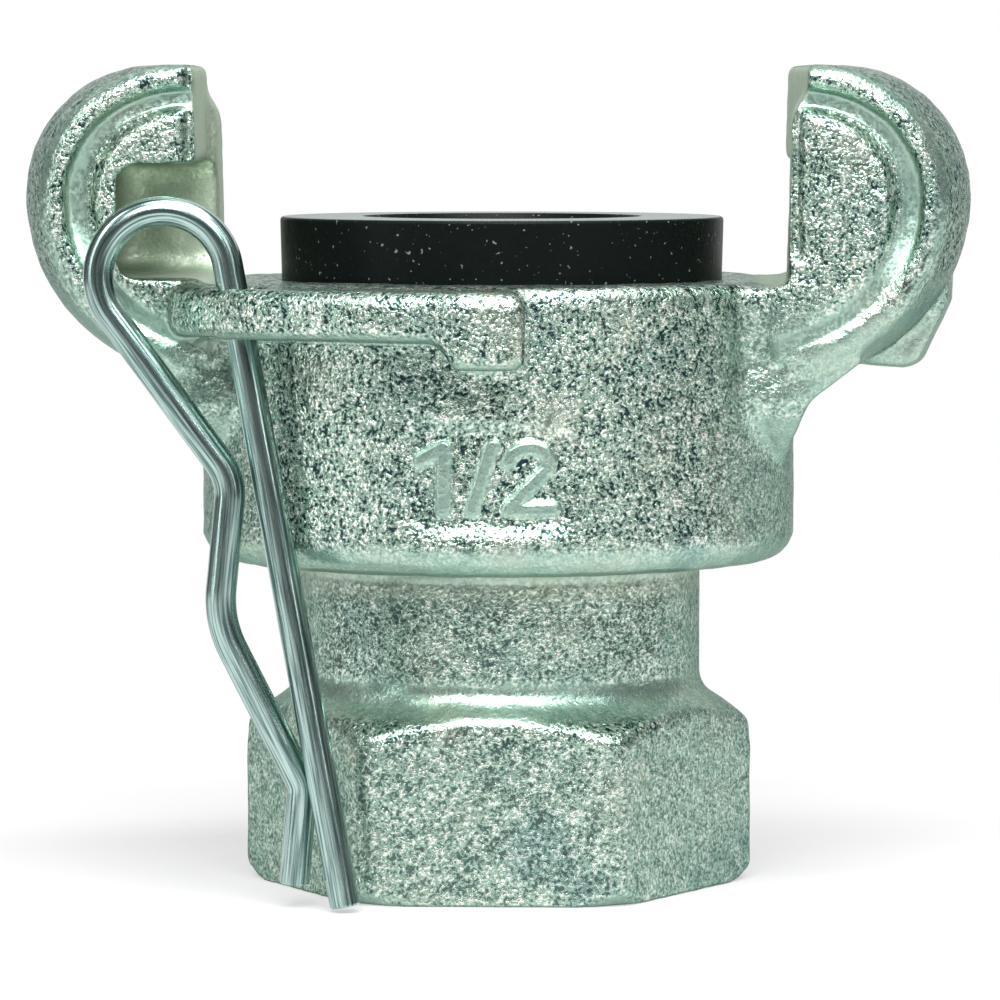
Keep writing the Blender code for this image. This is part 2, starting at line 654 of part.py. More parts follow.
def clip_path():
    """Return the centre line of the clip's wire, with the straight leg on the local Z axis.

    The straight leg runs up through the lug's hole into the loop. The bowed leg comes down from
    the loop, pinches in beside the straight leg, bulges, and ends with a flared tip behind it.
    """
    wire_gap = 2 * WIRE_RADIUS + CLIP_LEG_GAP
    behind = math.sqrt(wire_gap**2 - CLIP_CROSSING**2)
    loop = Vector((-CLIP_LOOP_RADIUS, 0.0, CLIP_LOOP_HEIGHT))
    pinch = Vector((-wire_gap, 0.0, -CLIP_PINCH_DEPTH))
    reach = pinch - loop
    leave = math.atan2(reach.z, reach.x) - math.acos(CLIP_LOOP_RADIUS / reach.length) + 2 * math.pi
    lean = math.cos(CLIP_LEAN_SIDE) * math.cos(CLIP_LEAN_FORWARD)
    end_sink = WIRE_RADIUS * math.sin(math.acos(lean))
    leg_length = (PIN_HOLE_Z - CLIP_FLOOR_GAP - end_sink) / lean
    points = [Vector((0.0, 0.0, -leg_length))]
    for step in range(LOOP_STEPS + 1):
        angle = leave * step / LOOP_STEPS
        spoke = Vector((math.cos(angle), 0.0, math.sin(angle)))
        points.append(loop + spoke * CLIP_LOOP_RADIUS)
    bow = (
        (points[-1], 0.0),
        (pinch, CLIP_PINCH_RADIUS),
        ((-CLIP_BULGE, CLIP_BULGE_BEHIND * behind, -CLIP_BULGE_DEPTH), CLIP_BULGE_RADIUS),
        ((-CLIP_CROSSING, behind, -CLIP_CROSSING_DEPTH), CLIP_CROSSING_RADIUS),
        ((-CLIP_TIP, CLIP_TIP_BEHIND * behind, -CLIP_TIP_DEPTH), 0.0),
    )
    return points + rounded_path(bow, BEND_STEPS)[1:]


def safety_clip():
    """Return the clip as a bent wire, with its origin on the axis that it swings about."""
    path = clip_path()
    curve = bpy.data.curves.new("safety_clip", "CURVE")
    curve.dimensions = "3D"
    curve.bevel_depth = WIRE_RADIUS
    curve.bevel_resolution = WIRE_BEVEL_STEPS
    curve.use_fill_caps = True
    spline = curve.splines.new("POLY")
    spline.points.add(len(path) - 1)
    for target, point in zip(spline.points, path):
        target.co = (*point, 1.0)
    clip = bpy.data.objects.new("safety_clip", curve)
    bpy.context.scene.collection.objects.link(clip)
    forward = Matrix.Rotation(-CLIP_LEAN_FORWARD, 4, "X")
    side = Matrix.Rotation(-CLIP_LEAN_SIDE, 4, "Y")
    hole = Matrix.Translation((-PIN_HOLE_X, PIN_HOLE_Y, PIN_HOLE_Z))
    clip.matrix_world = hole @ forward @ side
    return clip


def main():
    """Build the coupling's three pieces."""
    clear_scene()
    body = coupling_body()
    body.data.materials.append(make_material("zinc_plated_casting", CASTING_COLOUR, 0.9, 0.42))
    washer = sealing_washer()
    washer.data.materials.append(make_material("nitrile_rubber", RUBBER_COLOUR, 0.0, 0.6))
    clip = safety_clip()
    clip.data.materials.append(make_material("zinc_plated_wire", WIRE_COLOUR, 1.0, 0.25))
    for obj in (body, washer):
        obj.data.shade_smooth()
        obj.data.set_sharp_from_angle(angle=SMOOTH_UNDER)


main()
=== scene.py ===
"""Female pipe end of a twist-claw air hose coupling, dressed for a studio picture.

One grainy zinc-plated casting with a pipe thread in its hexagon, a black rubber washer in its
head, and a safety clip bent from bright wire. Metres, +Z up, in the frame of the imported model.
"""
import logging
import math
from dataclasses import dataclass
from enum import Enum

import bmesh
import bpy
import numpy as np
from mathutils import Matrix, Vector, noise


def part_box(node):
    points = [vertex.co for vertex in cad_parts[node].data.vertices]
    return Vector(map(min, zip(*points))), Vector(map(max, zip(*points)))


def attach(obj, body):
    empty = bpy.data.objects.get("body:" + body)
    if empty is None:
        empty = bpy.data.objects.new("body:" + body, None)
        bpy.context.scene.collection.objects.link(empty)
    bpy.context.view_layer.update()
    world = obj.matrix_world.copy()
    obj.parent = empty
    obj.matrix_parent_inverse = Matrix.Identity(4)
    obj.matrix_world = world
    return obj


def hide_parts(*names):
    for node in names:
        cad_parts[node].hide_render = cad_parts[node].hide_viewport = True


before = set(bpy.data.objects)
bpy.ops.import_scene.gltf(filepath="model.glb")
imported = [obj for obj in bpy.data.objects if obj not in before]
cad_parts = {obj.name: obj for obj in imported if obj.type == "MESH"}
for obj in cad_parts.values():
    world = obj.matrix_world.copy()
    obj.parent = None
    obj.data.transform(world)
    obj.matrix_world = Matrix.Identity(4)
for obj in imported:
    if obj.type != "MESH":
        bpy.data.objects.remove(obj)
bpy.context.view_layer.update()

MM = 0.001
MERGE = 1e-7
LOG = logging.getLogger("coupling")

Colour = tuple[float, float, float, float]
Point = tuple[float, float, float]
Ramp = tuple[float, float, float]
Band = tuple[str, float, float]
Zone = tuple[float, tuple[Band, ...]]


class Body(Enum):
    """The two bodies that pieces ride on."""

    COUPLING = "coupling"
    CLIP = "clip"


class Slot(Enum):
    """The record's finishes."""

    CASTING = "zinc_plated_casting"
    RUBBER = "nitrile_rubber"
    WIRE = "zinc_plated_wire"


def linear(colour: str) -> Colour:
    """Turn an sRGB hex colour into linear light.

    Args:
        colour: six hex digits after a number sign.

    Returns:
        Linear red, green and blue with full opacity.
    """
    channels = []
    for start in (1, 3, 5):
        share = int(colour[start:start + 2], 16) / 255
        channels.append(share / 12.92 if share <= 0.04045 else ((share + 0.055) / 1.055) ** 2.4)
    return (*channels, 1.0)


def add_node(
    tree: bpy.types.NodeTree, kind: str, inputs: dict | None = None, **settings: object
) -> bpy.types.Node:
    """Add a node with its settings, then set its inputs or link them.

    Args:
        tree: the node tree that takes the node.
        kind: the node's type name.
        inputs: for each input, by name or number, its value or the socket that feeds it.
        settings: the node's own properties.

    Returns:
        The new node.
    """
    node = tree.nodes.new(kind)
    for name, value in settings.items():
        setattr(node, name, value)
    for key, value in (inputs or {}).items():
        if isinstance(value, bpy.types.NodeSocket):
            tree.links.new(value, node.inputs[key])
        else:
            node.inputs[key].default_value = value
    return node


def new_material(name: str) -> tuple[bpy.types.Material, bpy.types.NodeTree, bpy.types.Node]:
    """Start a node material.

    Args:
        name: the material's name.

    Returns:
        The material, its node tree and its Principled shader.
    """
    material = bpy.data.materials.new(name)
    material.use_nodes = True
    tree = material.node_tree
    return material, tree, tree.nodes["Principled BSDF"]


def link_object(name: str, mesh: bpy.types.Mesh) -> bpy.types.Object:
    """Put a mesh into the scene as an object at the origin.

    Args:
        name: the object's name.
        mesh: its mesh, in world metres.

    Returns:
        The object.
    """
    obj = bpy.data.objects.new(name, mesh)
    bpy.context.scene.collection.objects.link(obj)
    return obj


def evaluated(obj: bpy.types.Object) -> bpy.types.Mesh:
    """Read an object with its modifiers carried out.

    Args:
        obj: the object, which keeps its modifiers.

    Returns:
        A plain mesh of its own.
    """
    graph = bpy.context.evaluated_depsgraph_get()
    return bpy.data.meshes.new_from_object(
        obj.evaluated_get(graph), preserve_all_data_layers=True, depsgraph=graph
    )


def bake_modifiers(obj: bpy.types.Object) -> None:
    """Carry out an object's modifiers for good.

    Args:
        obj: the object, which keeps the result as its mesh.
    """
    mesh = evaluated(obj)
    obj.modifiers.clear()
    obj.data = mesh


def new_tree(name: str, sizes: dict[str, float | int]) -> bpy.types.NodeTree:
    """Start a geometry tree with a named input for each size.

    Args:
        name: the tree's name.
        sizes: the sizes by name. A whole number gets an input for whole numbers.

    Returns:
        The tree.
    """
    tree = bpy.data.node_groups.new(name, "GeometryNodeTree")
    for direction in ("OUTPUT", "INPUT"):
        tree.interface.new_socket("Geometry", in_out=direction, socket_type="NodeSocketGeometry")
    for size, value in sizes.items():
        kind = "NodeSocketInt" if isinstance(value, int) else "NodeSocketFloat"
        tree.interface.new_socket(size, in_out="INPUT", socket_type=kind)
    return tree


def close_tree(
    tree: bpy.types.NodeTree, geometry: bpy.types.NodeSocket, finish: bpy.types.Material
) -> None:
    """End a geometry tree with real geometry in its material.

    Args:
        tree: the tree.
        geometry: the socket that gives what was built.
        finish: the material.
    """
    real = add_node(tree, "GeometryNodeRealizeInstances", {"Geometry": geometry}).outputs[0]
    done = add_node(
        tree, "GeometryNodeSetMaterial", {"Geometry": real, "Material": finish}
    ).outputs[0]
    add_node(tree, "NodeGroupOutput", {0: done})


def run_tree(
    name: str, tree: bpy.types.NodeTree, values: dict[str, object], source: bpy.types.Mesh
) -> bpy.types.Object:
    """Run a geometry tree once and keep its result as a plain mesh.

    Args:
        name: the finished object's name.
        tree: the geometry tree.
        values: a value for each named input.
        source: the mesh that the tree starts from.

    Returns:
        The finished object, at the origin and without a modifier.
    """
    obj = link_object(name, source)
    modifier = obj.modifiers.new("build", "NODES")
    modifier.node_group = tree
    for item in tree.interface.items_tree:
        if item.name in values:
            modifier[item.identifier] = values[item.name]
    bake_modifiers(obj)
    return obj


def face_out(mesh: bpy.types.Mesh, merge: float = 0.0) -> None:
    """Turn the faces of a closed mesh outwards and shade it smooth.

    Args:
        mesh: the mesh.
        merge: vertices closer than this become one first, in metres.
    """
    shell = bmesh.new()
    shell.from_mesh(mesh)
    if merge:
        bmesh.ops.remove_doubles(shell, verts=shell.verts, dist=merge)
    bmesh.ops.recalc_face_normals(shell, faces=shell.faces)
    shell.to_mesh(mesh)
    shell.free()
    mesh.shade_smooth()


def mesh_from(name: str, points: np.ndarray, faces: list[tuple[int, ...]]) -> bpy.types.Mesh:
    """Make a smooth closed mesh with its faces pointing out.

    Args:
        name: the mesh's name.
        points: one row of x, y, z for each vertex.
        faces: the vertex numbers of each face.

    Returns:
        The mesh.
    """
    mesh = bpy.data.meshes.new(name)
    mesh.from_pydata(points.tolist(), [], faces)
    face_out(mesh, MERGE)
    return mesh


def grid_faces(
    rows: int, columns: int, ring_rows: bool, ring_columns: bool
) -> list[tuple[int, ...]]:
    """List the four-sided faces of a grid of points.

    Args:
        rows: number of rows of points.
        columns: number of points in a row.
        ring_rows: whether the last row joins the first.
        ring_columns: whether each row closes on itself.

    Returns:
        The vertex numbers of each face.
    """
    faces = []
    for row in range(rows if ring_rows else rows - 1):
        for column in range(columns if ring_columns else columns - 1):
            right = (column + 1) % columns
            below = (row + 1) % rows
            faces.append((
                row * columns + column,
                row * columns + right,
                below * columns + right,
                below * columns + column,
            ))
    return faces


def read_points(mesh: bpy.types.Mesh) -> np.ndarray:
    """Read where a mesh's vertices are.

    Args:
        mesh: the mesh.

    Returns:
        Rows of x, y, z in metres.
    """
    points = np.empty(len(mesh.vertices) * 3)
    mesh.vertices.foreach_get("co", points)
    return points.reshape(-1, 3)


def read_normals(mesh: bpy.types.Mesh) -> np.ndarray:
    """Read which way a mesh faces at each of its vertices.

    Args:
        mesh: the mesh.

    Returns:
        One row of x, y, z for each vertex, of length 1.
    """
    normals = np.empty(len(mesh.vertices) * 3, np.float32)
    mesh.vertex_normals.foreach_get("vector", normals)
    return normals.reshape(-1, 3).astype(float)


def write_points(mesh: bpy.types.Mesh, points: np.ndarray) -> None:
    """Move a mesh's vertices to new places."""
    mesh.vertices.foreach_set("co", points.ravel())
    mesh.update()


def write_mask(mesh: bpy.types.Mesh, name: str, values: np.ndarray) -> None:
    """Store one number for each vertex under a name that a material reads."""
    layer = mesh.attributes.new(name, "FLOAT", "POINT")
    layer.data.foreach_set("value", np.clip(values, 0.0, 1.0).astype(np.float32))


def ease(values: np.ndarray | float, low: float, high: float) -> np.ndarray | float:
    """Return 0 below low, 1 above high and a soft step between them."""
    share = np.clip((values - low) / (high - low), 0.0, 1.0)
    return share * share * (3 - 2 * share)


def mould_noise(points: np.ndarray, grain: float, seed: float) -> np.ndarray:
    """Return soft noise at each point.

    Args:
        points: rows of x, y, z in metres.
        grain: width of one bump in metres.
        seed: an offset that gives another pattern.

    Returns:
        Values from about -1 to 1.
    """
    scaled = points / grain + seed
    return np.array([noise.noise(Vector(row)) for row in scaled])


def distance_to_path(points: np.ndarray, path: np.ndarray) -> np.ndarray:
    """Return how far each point lies from a path.

    Args:
        points: rows of coordinates.
        path: rows of coordinates of the path's corners.

    Returns:
        The distance of each point in metres.
    """
    nearest = np.full(len(points), np.inf)
    for start, end in zip(path, path[1:]):
        along = end - start
        share = np.clip((points - start) @ along / (along @ along), 0.0, 1.0)
        gap = np.linalg.norm(points - start - share[:, None] * along, axis=1)
        nearest = np.minimum(nearest, gap)
    return nearest


def dress(obj: bpy.types.Object, material: bpy.types.Material, body: Body) -> None:
    """Give a finished piece its material and its body, and report it.

    Args:
        obj: the piece.
        material: its finish.
        body: the body that it moves with.
    """
    obj.data.materials.clear()
    obj.data.materials.append(material)
    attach(obj, body.value)
    LOG.info("%s: %d faces, %s", obj.name, len(obj.data.polygons), material.name)


@dataclass(frozen=True)
class CastZinc:
    """Malleable iron from a sand mould, zinc plated with a pale blue-green passivation."""

    name: str = "zinc-plated malleable iron casting"
    # The darkest colour is painted shade for the grain's hollows; top is a painted glint for its
    # crests
    pit_shade: str = "#2A3C42"
    skin: str = "#9DB8A8"
    top: str = "#F1F3EA"
    smooth_skin: str = "#A4C1B3"
    olive: str = "#C6CAB6"
    blue: str = "#A8C4D0"
    grazing: str = "#93A09B"
    # The sand leaves two sizes of grain. Each has a width, height, detail and distortion. The
    # colour holds painted glints, near white, on the grain's crests and painted shade, darker
    # and bluer, in its hollows
    grains: tuple[tuple[float, ...], ...] = (
        (0.80 * MM, 0.14 * MM, 1.5, 0.6),
        (0.26 * MM, 0.10 * MM, 3.0, 0.4),
    )
    fine_share: float = 0.72
    smooth_grain: float = 0.12
    # Grain heights over which the painted shade gives way to the skin, and the skin to painted
    # glints
    pit_shade_range: tuple[float, float] = (0.41, 0.48)
    glint_range: tuple[float, float] = (0.53, 0.60)
    patch: float = 6.0 * MM
    # The passivation varies in patches. From, to and largest share of the blue and olive ones
    blue_range: Ramp = (0.54, 0.74, 0.5)
    olive_range: Ramp = (0.44, 0.28, 0.3)
    metallic: float = 0.9
    polish_range: tuple[float, float] = (0.35, 0.60)
    pit_roughness: float = 0.32
    top_roughness: float = 0.14
    stain_roughness: float = 0.30
    smooth_roughness: float = 0.14

    def build(self) -> bpy.types.Material:
        """Build the finish.

        Returns:
            The material, which reads the masks smooth_skin and stain of the piece.
        """
        material, tree, shader = new_material(self.name)
        place = add_node(tree, "ShaderNodeTexCoord").outputs["Object"]
        smooth, stain = (
            add_node(tree, "ShaderNodeAttribute", attribute_name=mask).outputs["Fac"]
            for mask in ("smooth_skin", "stain")
        )
        rough_share = add_node(
            tree, "ShaderNodeMapRange",
            {"Value": smooth, "To Min": 1.0, "To Max": self.smooth_grain},
        ).outputs["Result"]
        heights, below = [], {}
        for width, rise, detail, distortion in self.grains:
            heights.append(add_node(
                tree, "ShaderNodeTexNoise",
                {"Vector": place, "Scale": 1 / width, "Detail": detail, "Distortion": distortion},
            ).outputs["Fac"])
            shape = add_node(
                tree, "ShaderNodeMath", {0: heights[-1], 1: rough_share}, operation="MULTIPLY"
            ).outputs[0]
            bump = add_node(tree, "ShaderNodeBump", {"Height": shape, "Distance": rise, **below})
            below = {"Normal": bump.outputs["Normal"]}
        coarse, fine = heights
        height = add_node(
            tree, "ShaderNodeMix", {0: self.fine_share, 2: coarse, 3: fine}, data_type="FLOAT"
        ).outputs[0]
        pit_shade_share, glint_share = (
            add_node(
                tree, "ShaderNodeMapRange", {"Value": height, "From Min": low, "From Max": high},
                interpolation_type="SMOOTHSTEP",
            ).outputs["Result"]
            for low, high in (self.pit_shade_range, self.glint_range)
        )
        patches = add_node(
            tree, "ShaderNodeTexNoise", {"Vector": place, "Scale": 1 / self.patch, "Detail": 2.0}
        ).outputs["Fac"]
        blue_share, olive_share = (
            add_node(
                tree, "ShaderNodeMapRange",
                {"Value": patches, "From Min": low, "From Max": high, "To Max": most},
            ).outputs["Result"]
            for low, high, most in (self.blue_range, self.olive_range)
        )
        olive_share = add_node(
            tree, "ShaderNodeMath", {0: olive_share, 1: stain}, operation="MAXIMUM"
        ).outputs[0]
        colour = linear(self.pit_shade)
        # The grain's hollows keep painted shade and its crests take painted glints; the smooth skin
        # covers both
        for share, tint, blend in (
            (pit_shade_share, self.skin, "MIX"),
            (glint_share, self.top, "MIX"),
            (smooth, self.smooth_skin, "MIX"),
            (blue_share, self.blue, "MULTIPLY"),
            (olive_share, self.olive, "MIX"),
        ):
            colour = add_node(
                tree, "ShaderNodeMix", {0: share, 6: colour, 7: linear(tint)},
                data_type="RGBA", blend_type=blend,
            ).outputs[2]
        low, high = self.polish_range
        roughness = add_node(
            tree, "ShaderNodeMapRange",
            {
                "Value": fine, "From Min": low, "From Max": high,
                "To Min": self.pit_roughness, "To Max": self.top_roughness,
            },
        ).outputs["Result"]
        for mask, rise in ((stain, self.stain_roughness), (smooth, self.smooth_roughness)):
            roughness = add_node(
                tree, "ShaderNodeMath", {0: mask, 1: rise, 2: roughness},
                operation="MULTIPLY_ADD",
            ).outputs[0]
        shader.inputs["Metallic"].default_value = self.metallic
        shader.inputs["Specular Tint"].default_value = linear(self.grazing)
        tree.links.new(colour, shader.inputs["Base Color"])
        tree.links.new(roughness, shader.inputs["Roughness"])
        tree.links.new(below["Normal"], shader.inputs["Normal"])
        return material


@dataclass(frozen=True)
class CutZinc:
    """Cut thread and faced end of the casting, zinc plated, with the tool's even rings."""

    name: str = "zinc-plated machined iron"
    colour: str = "#9DB3AD"
    dull: str = "#6E8781"
    dull_patch: float = 1.5 * MM
    # The tool's rings catch the light as fine even lines, drawn as coarse as they need to show
    ring: float = 0.22 * MM
    ring_waver: float = 0.4
    ring_height: float = 0.006 * MM
    metallic: float = 0.9
    roughness: float = 0.32

    def build(self) -> bpy.types.Material:
        """Build the finish.

        Returns:
            The material.
        """
        material, tree, shader = new_material(self.name)
        place = add_node(tree, "ShaderNodeTexCoord").outputs["Object"]
        rings = add_node(
            tree, "ShaderNodeTexWave",
            {
                "Vector": place, "Scale": 1 / self.ring / math.tau,
                "Distortion": self.ring_waver, "Detail": 1.0,
            },
            wave_type="RINGS", rings_direction="Z",
        ).outputs["Fac"]
        bump = add_node(
            tree, "ShaderNodeBump", {"Height": rings, "Distance": self.ring_height}
        ).outputs["Normal"]
        bright = add_node(
            tree, "ShaderNodeTexNoise",
            {"Vector": place, "Scale": 1 / self.dull_patch, "Detail": 3.0},
        ).outputs["Fac"]
        colour = add_node(
            tree, "ShaderNodeMix", {0: bright, 6: linear(self.dull), 7: linear(self.colour)},
            data_type="RGBA",
        ).outputs[2]
        shader.inputs["Metallic"].default_value = self.metallic
        shader.inputs["Roughness"].default_value = self.roughness
        tree.links.new(colour, shader.inputs["Base Color"])
        tree.links.new(bump, shader.inputs["Normal"])
        return material


@dataclass(frozen=True)
class SpringWire:
    """Hard-drawn spring wire, bright zinc plated, with the die's lines along it."""

    name: str = "zinc-plated spring wire"
    colour: str = "#B8D0CB"
    dull: str = "#56716F"
    # The die's lines split the highlight into streaks, drawn as coarse as they need to show
    line: float = 0.16 * MM
    line_height: float = 0.012 * MM
    bright_range: tuple[float, float] = (0.35, 0.6)
    metallic: float = 1.0
    dull_roughness: float = 0.32
    bright_roughness: float = 0.16

    def build(self) -> bpy.types.Material:
        """Build the finish.

        Returns:
            The material, which reads the wire's own coordinates, drawn.
        """
        material, tree, shader = new_material(self.name)
        place = add_node(tree, "ShaderNodeAttribute", attribute_name="drawn").outputs["Vector"]
        lines = add_node(
            tree, "ShaderNodeTexNoise", {"Vector": place, "Scale": 1 / self.line, "Detail": 3.0}
        ).outputs["Fac"]
        bump = add_node(
            tree, "ShaderNodeBump", {"Height": lines, "Distance": self.line_height}
        ).outputs["Normal"]
        low, high = self.bright_range
        share = add_node(
            tree, "ShaderNodeMapRange", {"Value": lines, "From Min": low, "From Max": high}
        ).outputs["Result"]
        colour = add_node(
            tree, "ShaderNodeMix", {0: share, 6: linear(self.dull), 7: linear(self.colour)},
            data_type="RGBA",
        ).outputs[2]
        roughness = add_node(
            tree, "ShaderNodeMapRange",
            {"Value": lines, "To Min": self.dull_roughness, "To Max": self.bright_roughness},
        ).outputs["Result"]
        shader.inputs["Metallic"].default_value = self.metallic
        tree.links.new(colour, shader.inputs["Base Color"])
        tree.links.new(roughness, shader.inputs["Roughness"])
        tree.links.new(bump, shader.inputs["Normal"])
        return material


@dataclass(frozen=True)
class MouldedRubber:
    """Nitrile rubber from a steel mould, talc in its pores, its top paled by talc and painted
    sheen.
    """

    name: str = "moulded nitrile rubber"
    colour: str = "#060A09"
    worn: str = "#0B100F"
    talc: str = "#6F7673"
    # The mould leaves the rubber matt and nearly black, and the talc shows as pale specks
    speck: float = 0.32 * MM
    speck_roughness: float = 0.4
    pore: float = 0.5 * MM
    pore_height: float = 0.03 * MM
    # From, to and largest share of the talc in the pores, and of the top's dusting and painted
    # sheen by how far up it faces
    speck_range: Ramp = (0.71, 0.76, 0.7)
    dust_and_sheen_range: Ramp = (0.8, 1.0, 0.85)
    roughness: float = 0.40
    gloss: float = 0.07

    def build(self) -> bpy.types.Material:
        """Build the finish.

        Returns:
            The material.
        """
        material, tree, shader = new_material(self.name)
        place = add_node(tree, "ShaderNodeTexCoord").outputs["Object"]
        pores = add_node(
            tree, "ShaderNodeTexNoise", {"Vector": place, "Scale": 1 / self.pore, "Detail": 3.0}
        ).outputs["Fac"]
        bump = add_node(
            tree, "ShaderNodeBump", {"Height": pores, "Distance": self.pore_height}
        ).outputs["Normal"]
        specks = add_node(
            tree, "ShaderNodeTexNoise",
            {
                "Vector": place, "Scale": 1 / self.speck,
                "Detail": 1.0, "Roughness": self.speck_roughness,
            },
        ).outputs["Fac"]
        normal = add_node(tree, "ShaderNodeNewGeometry").outputs["Normal"]
        facing = add_node(tree, "ShaderNodeSeparateXYZ", {0: normal}).outputs["Z"]
        # Faces that look up turn pale, partly as a dusting of talc and partly as painted sheen
        talc, dust_and_sheen = (
            add_node(
                tree, "ShaderNodeMapRange",
                {"Value": value, "From Min": low, "From Max": high, "To Max": most},
            ).outputs["Result"]
            for value, (low, high, most) in (
                (specks, self.speck_range), (facing, self.dust_and_sheen_range)
            )
        )
        talc_dust_and_sheen_share = add_node(
            tree, "ShaderNodeMath", {0: talc, 1: dust_and_sheen}, operation="MAXIMUM"
        ).outputs[0]
        colour = linear(self.colour)
        for share, tint in ((pores, self.worn), (talc_dust_and_sheen_share, self.talc)):
            colour = add_node(
                tree, "ShaderNodeMix", {0: share, 6: colour, 7: linear(tint)}, data_type="RGBA"
            ).outputs[2]
        shader.inputs["Roughness"].default_value = self.roughness
        shader.inputs["Specular IOR Level"].default_value = self.gloss
        tree.links.new(colour, shader.inputs["Base Color"])
        tree.links.new(bump, shader.inputs["Normal"])
        return material


@dataclass(frozen=True)
class PaleFloor:
    """Plain white studio floor. It keeps a soft shadow near the part and is pure white far off."""

    name: str = "white floor"
    colour: str = "#C4C4C4"
    shadow_share: float = 0.50
    near: float = 0.08
    far: float = 0.16

    def build(self) -> bpy.types.Material:
        """Build the finish.

        Returns:
            The material.
        """
        material, tree, shader = new_material(self.name)
        tree.nodes.remove(shader)
        place = add_node(tree, "ShaderNodeTexCoord").outputs["Object"]
        distance = add_node(
            tree, "ShaderNodeVectorMath", {0: place}, operation="LENGTH"
        ).outputs["Value"]
        glow = add_node(
            tree, "ShaderNodeMapRange",
            {
                "Value": distance, "From Min": self.near, "From Max": self.far,
                "To Min": 1 - self.shadow_share, "To Max": 1.0,
            },
            interpolation_type="SMOOTHSTEP",
        ).outputs["Result"]
        share = add_node(
            tree, "ShaderNodeMath", {0: glow, 1: seen_rays(tree)}, operation="MULTIPLY"
        ).outputs[0]
        matt = add_node(tree, "ShaderNodeBsdfDiffuse", {"Color": linear(self.colour)}).outputs[0]
        white = add_node(tree, "ShaderNodeEmission", {"Strength": 1.0}).outputs[0]
        floor = add_node(tree, "ShaderNodeMixShader", {0: share, 1: matt, 2: white}).outputs[0]
        tree.links.new(floor, tree.nodes["Material Output"].inputs["Surface"])
        return material


def seen_rays(tree: bpy.types.NodeTree) -> bpy.types.NodeSocket:
    """Tell the rays that show a surface to the camera from those that light the part.

    Args:
        tree: the node tree that asks.

    Returns:
        A socket that is 1 for rays from the camera, a gloss or through glass, else 0.
    """
    rays = add_node(tree, "ShaderNodeLightPath").outputs
    seen = rays["Is Camera Ray"]
    for kind in ("Is Glossy Ray", "Is Transmission Ray"):
        seen = add_node(
            tree, "ShaderNodeMath", {0: seen, 1: rays[kind]}, operation="MAXIMUM"
        ).outputs[0]
    return seen


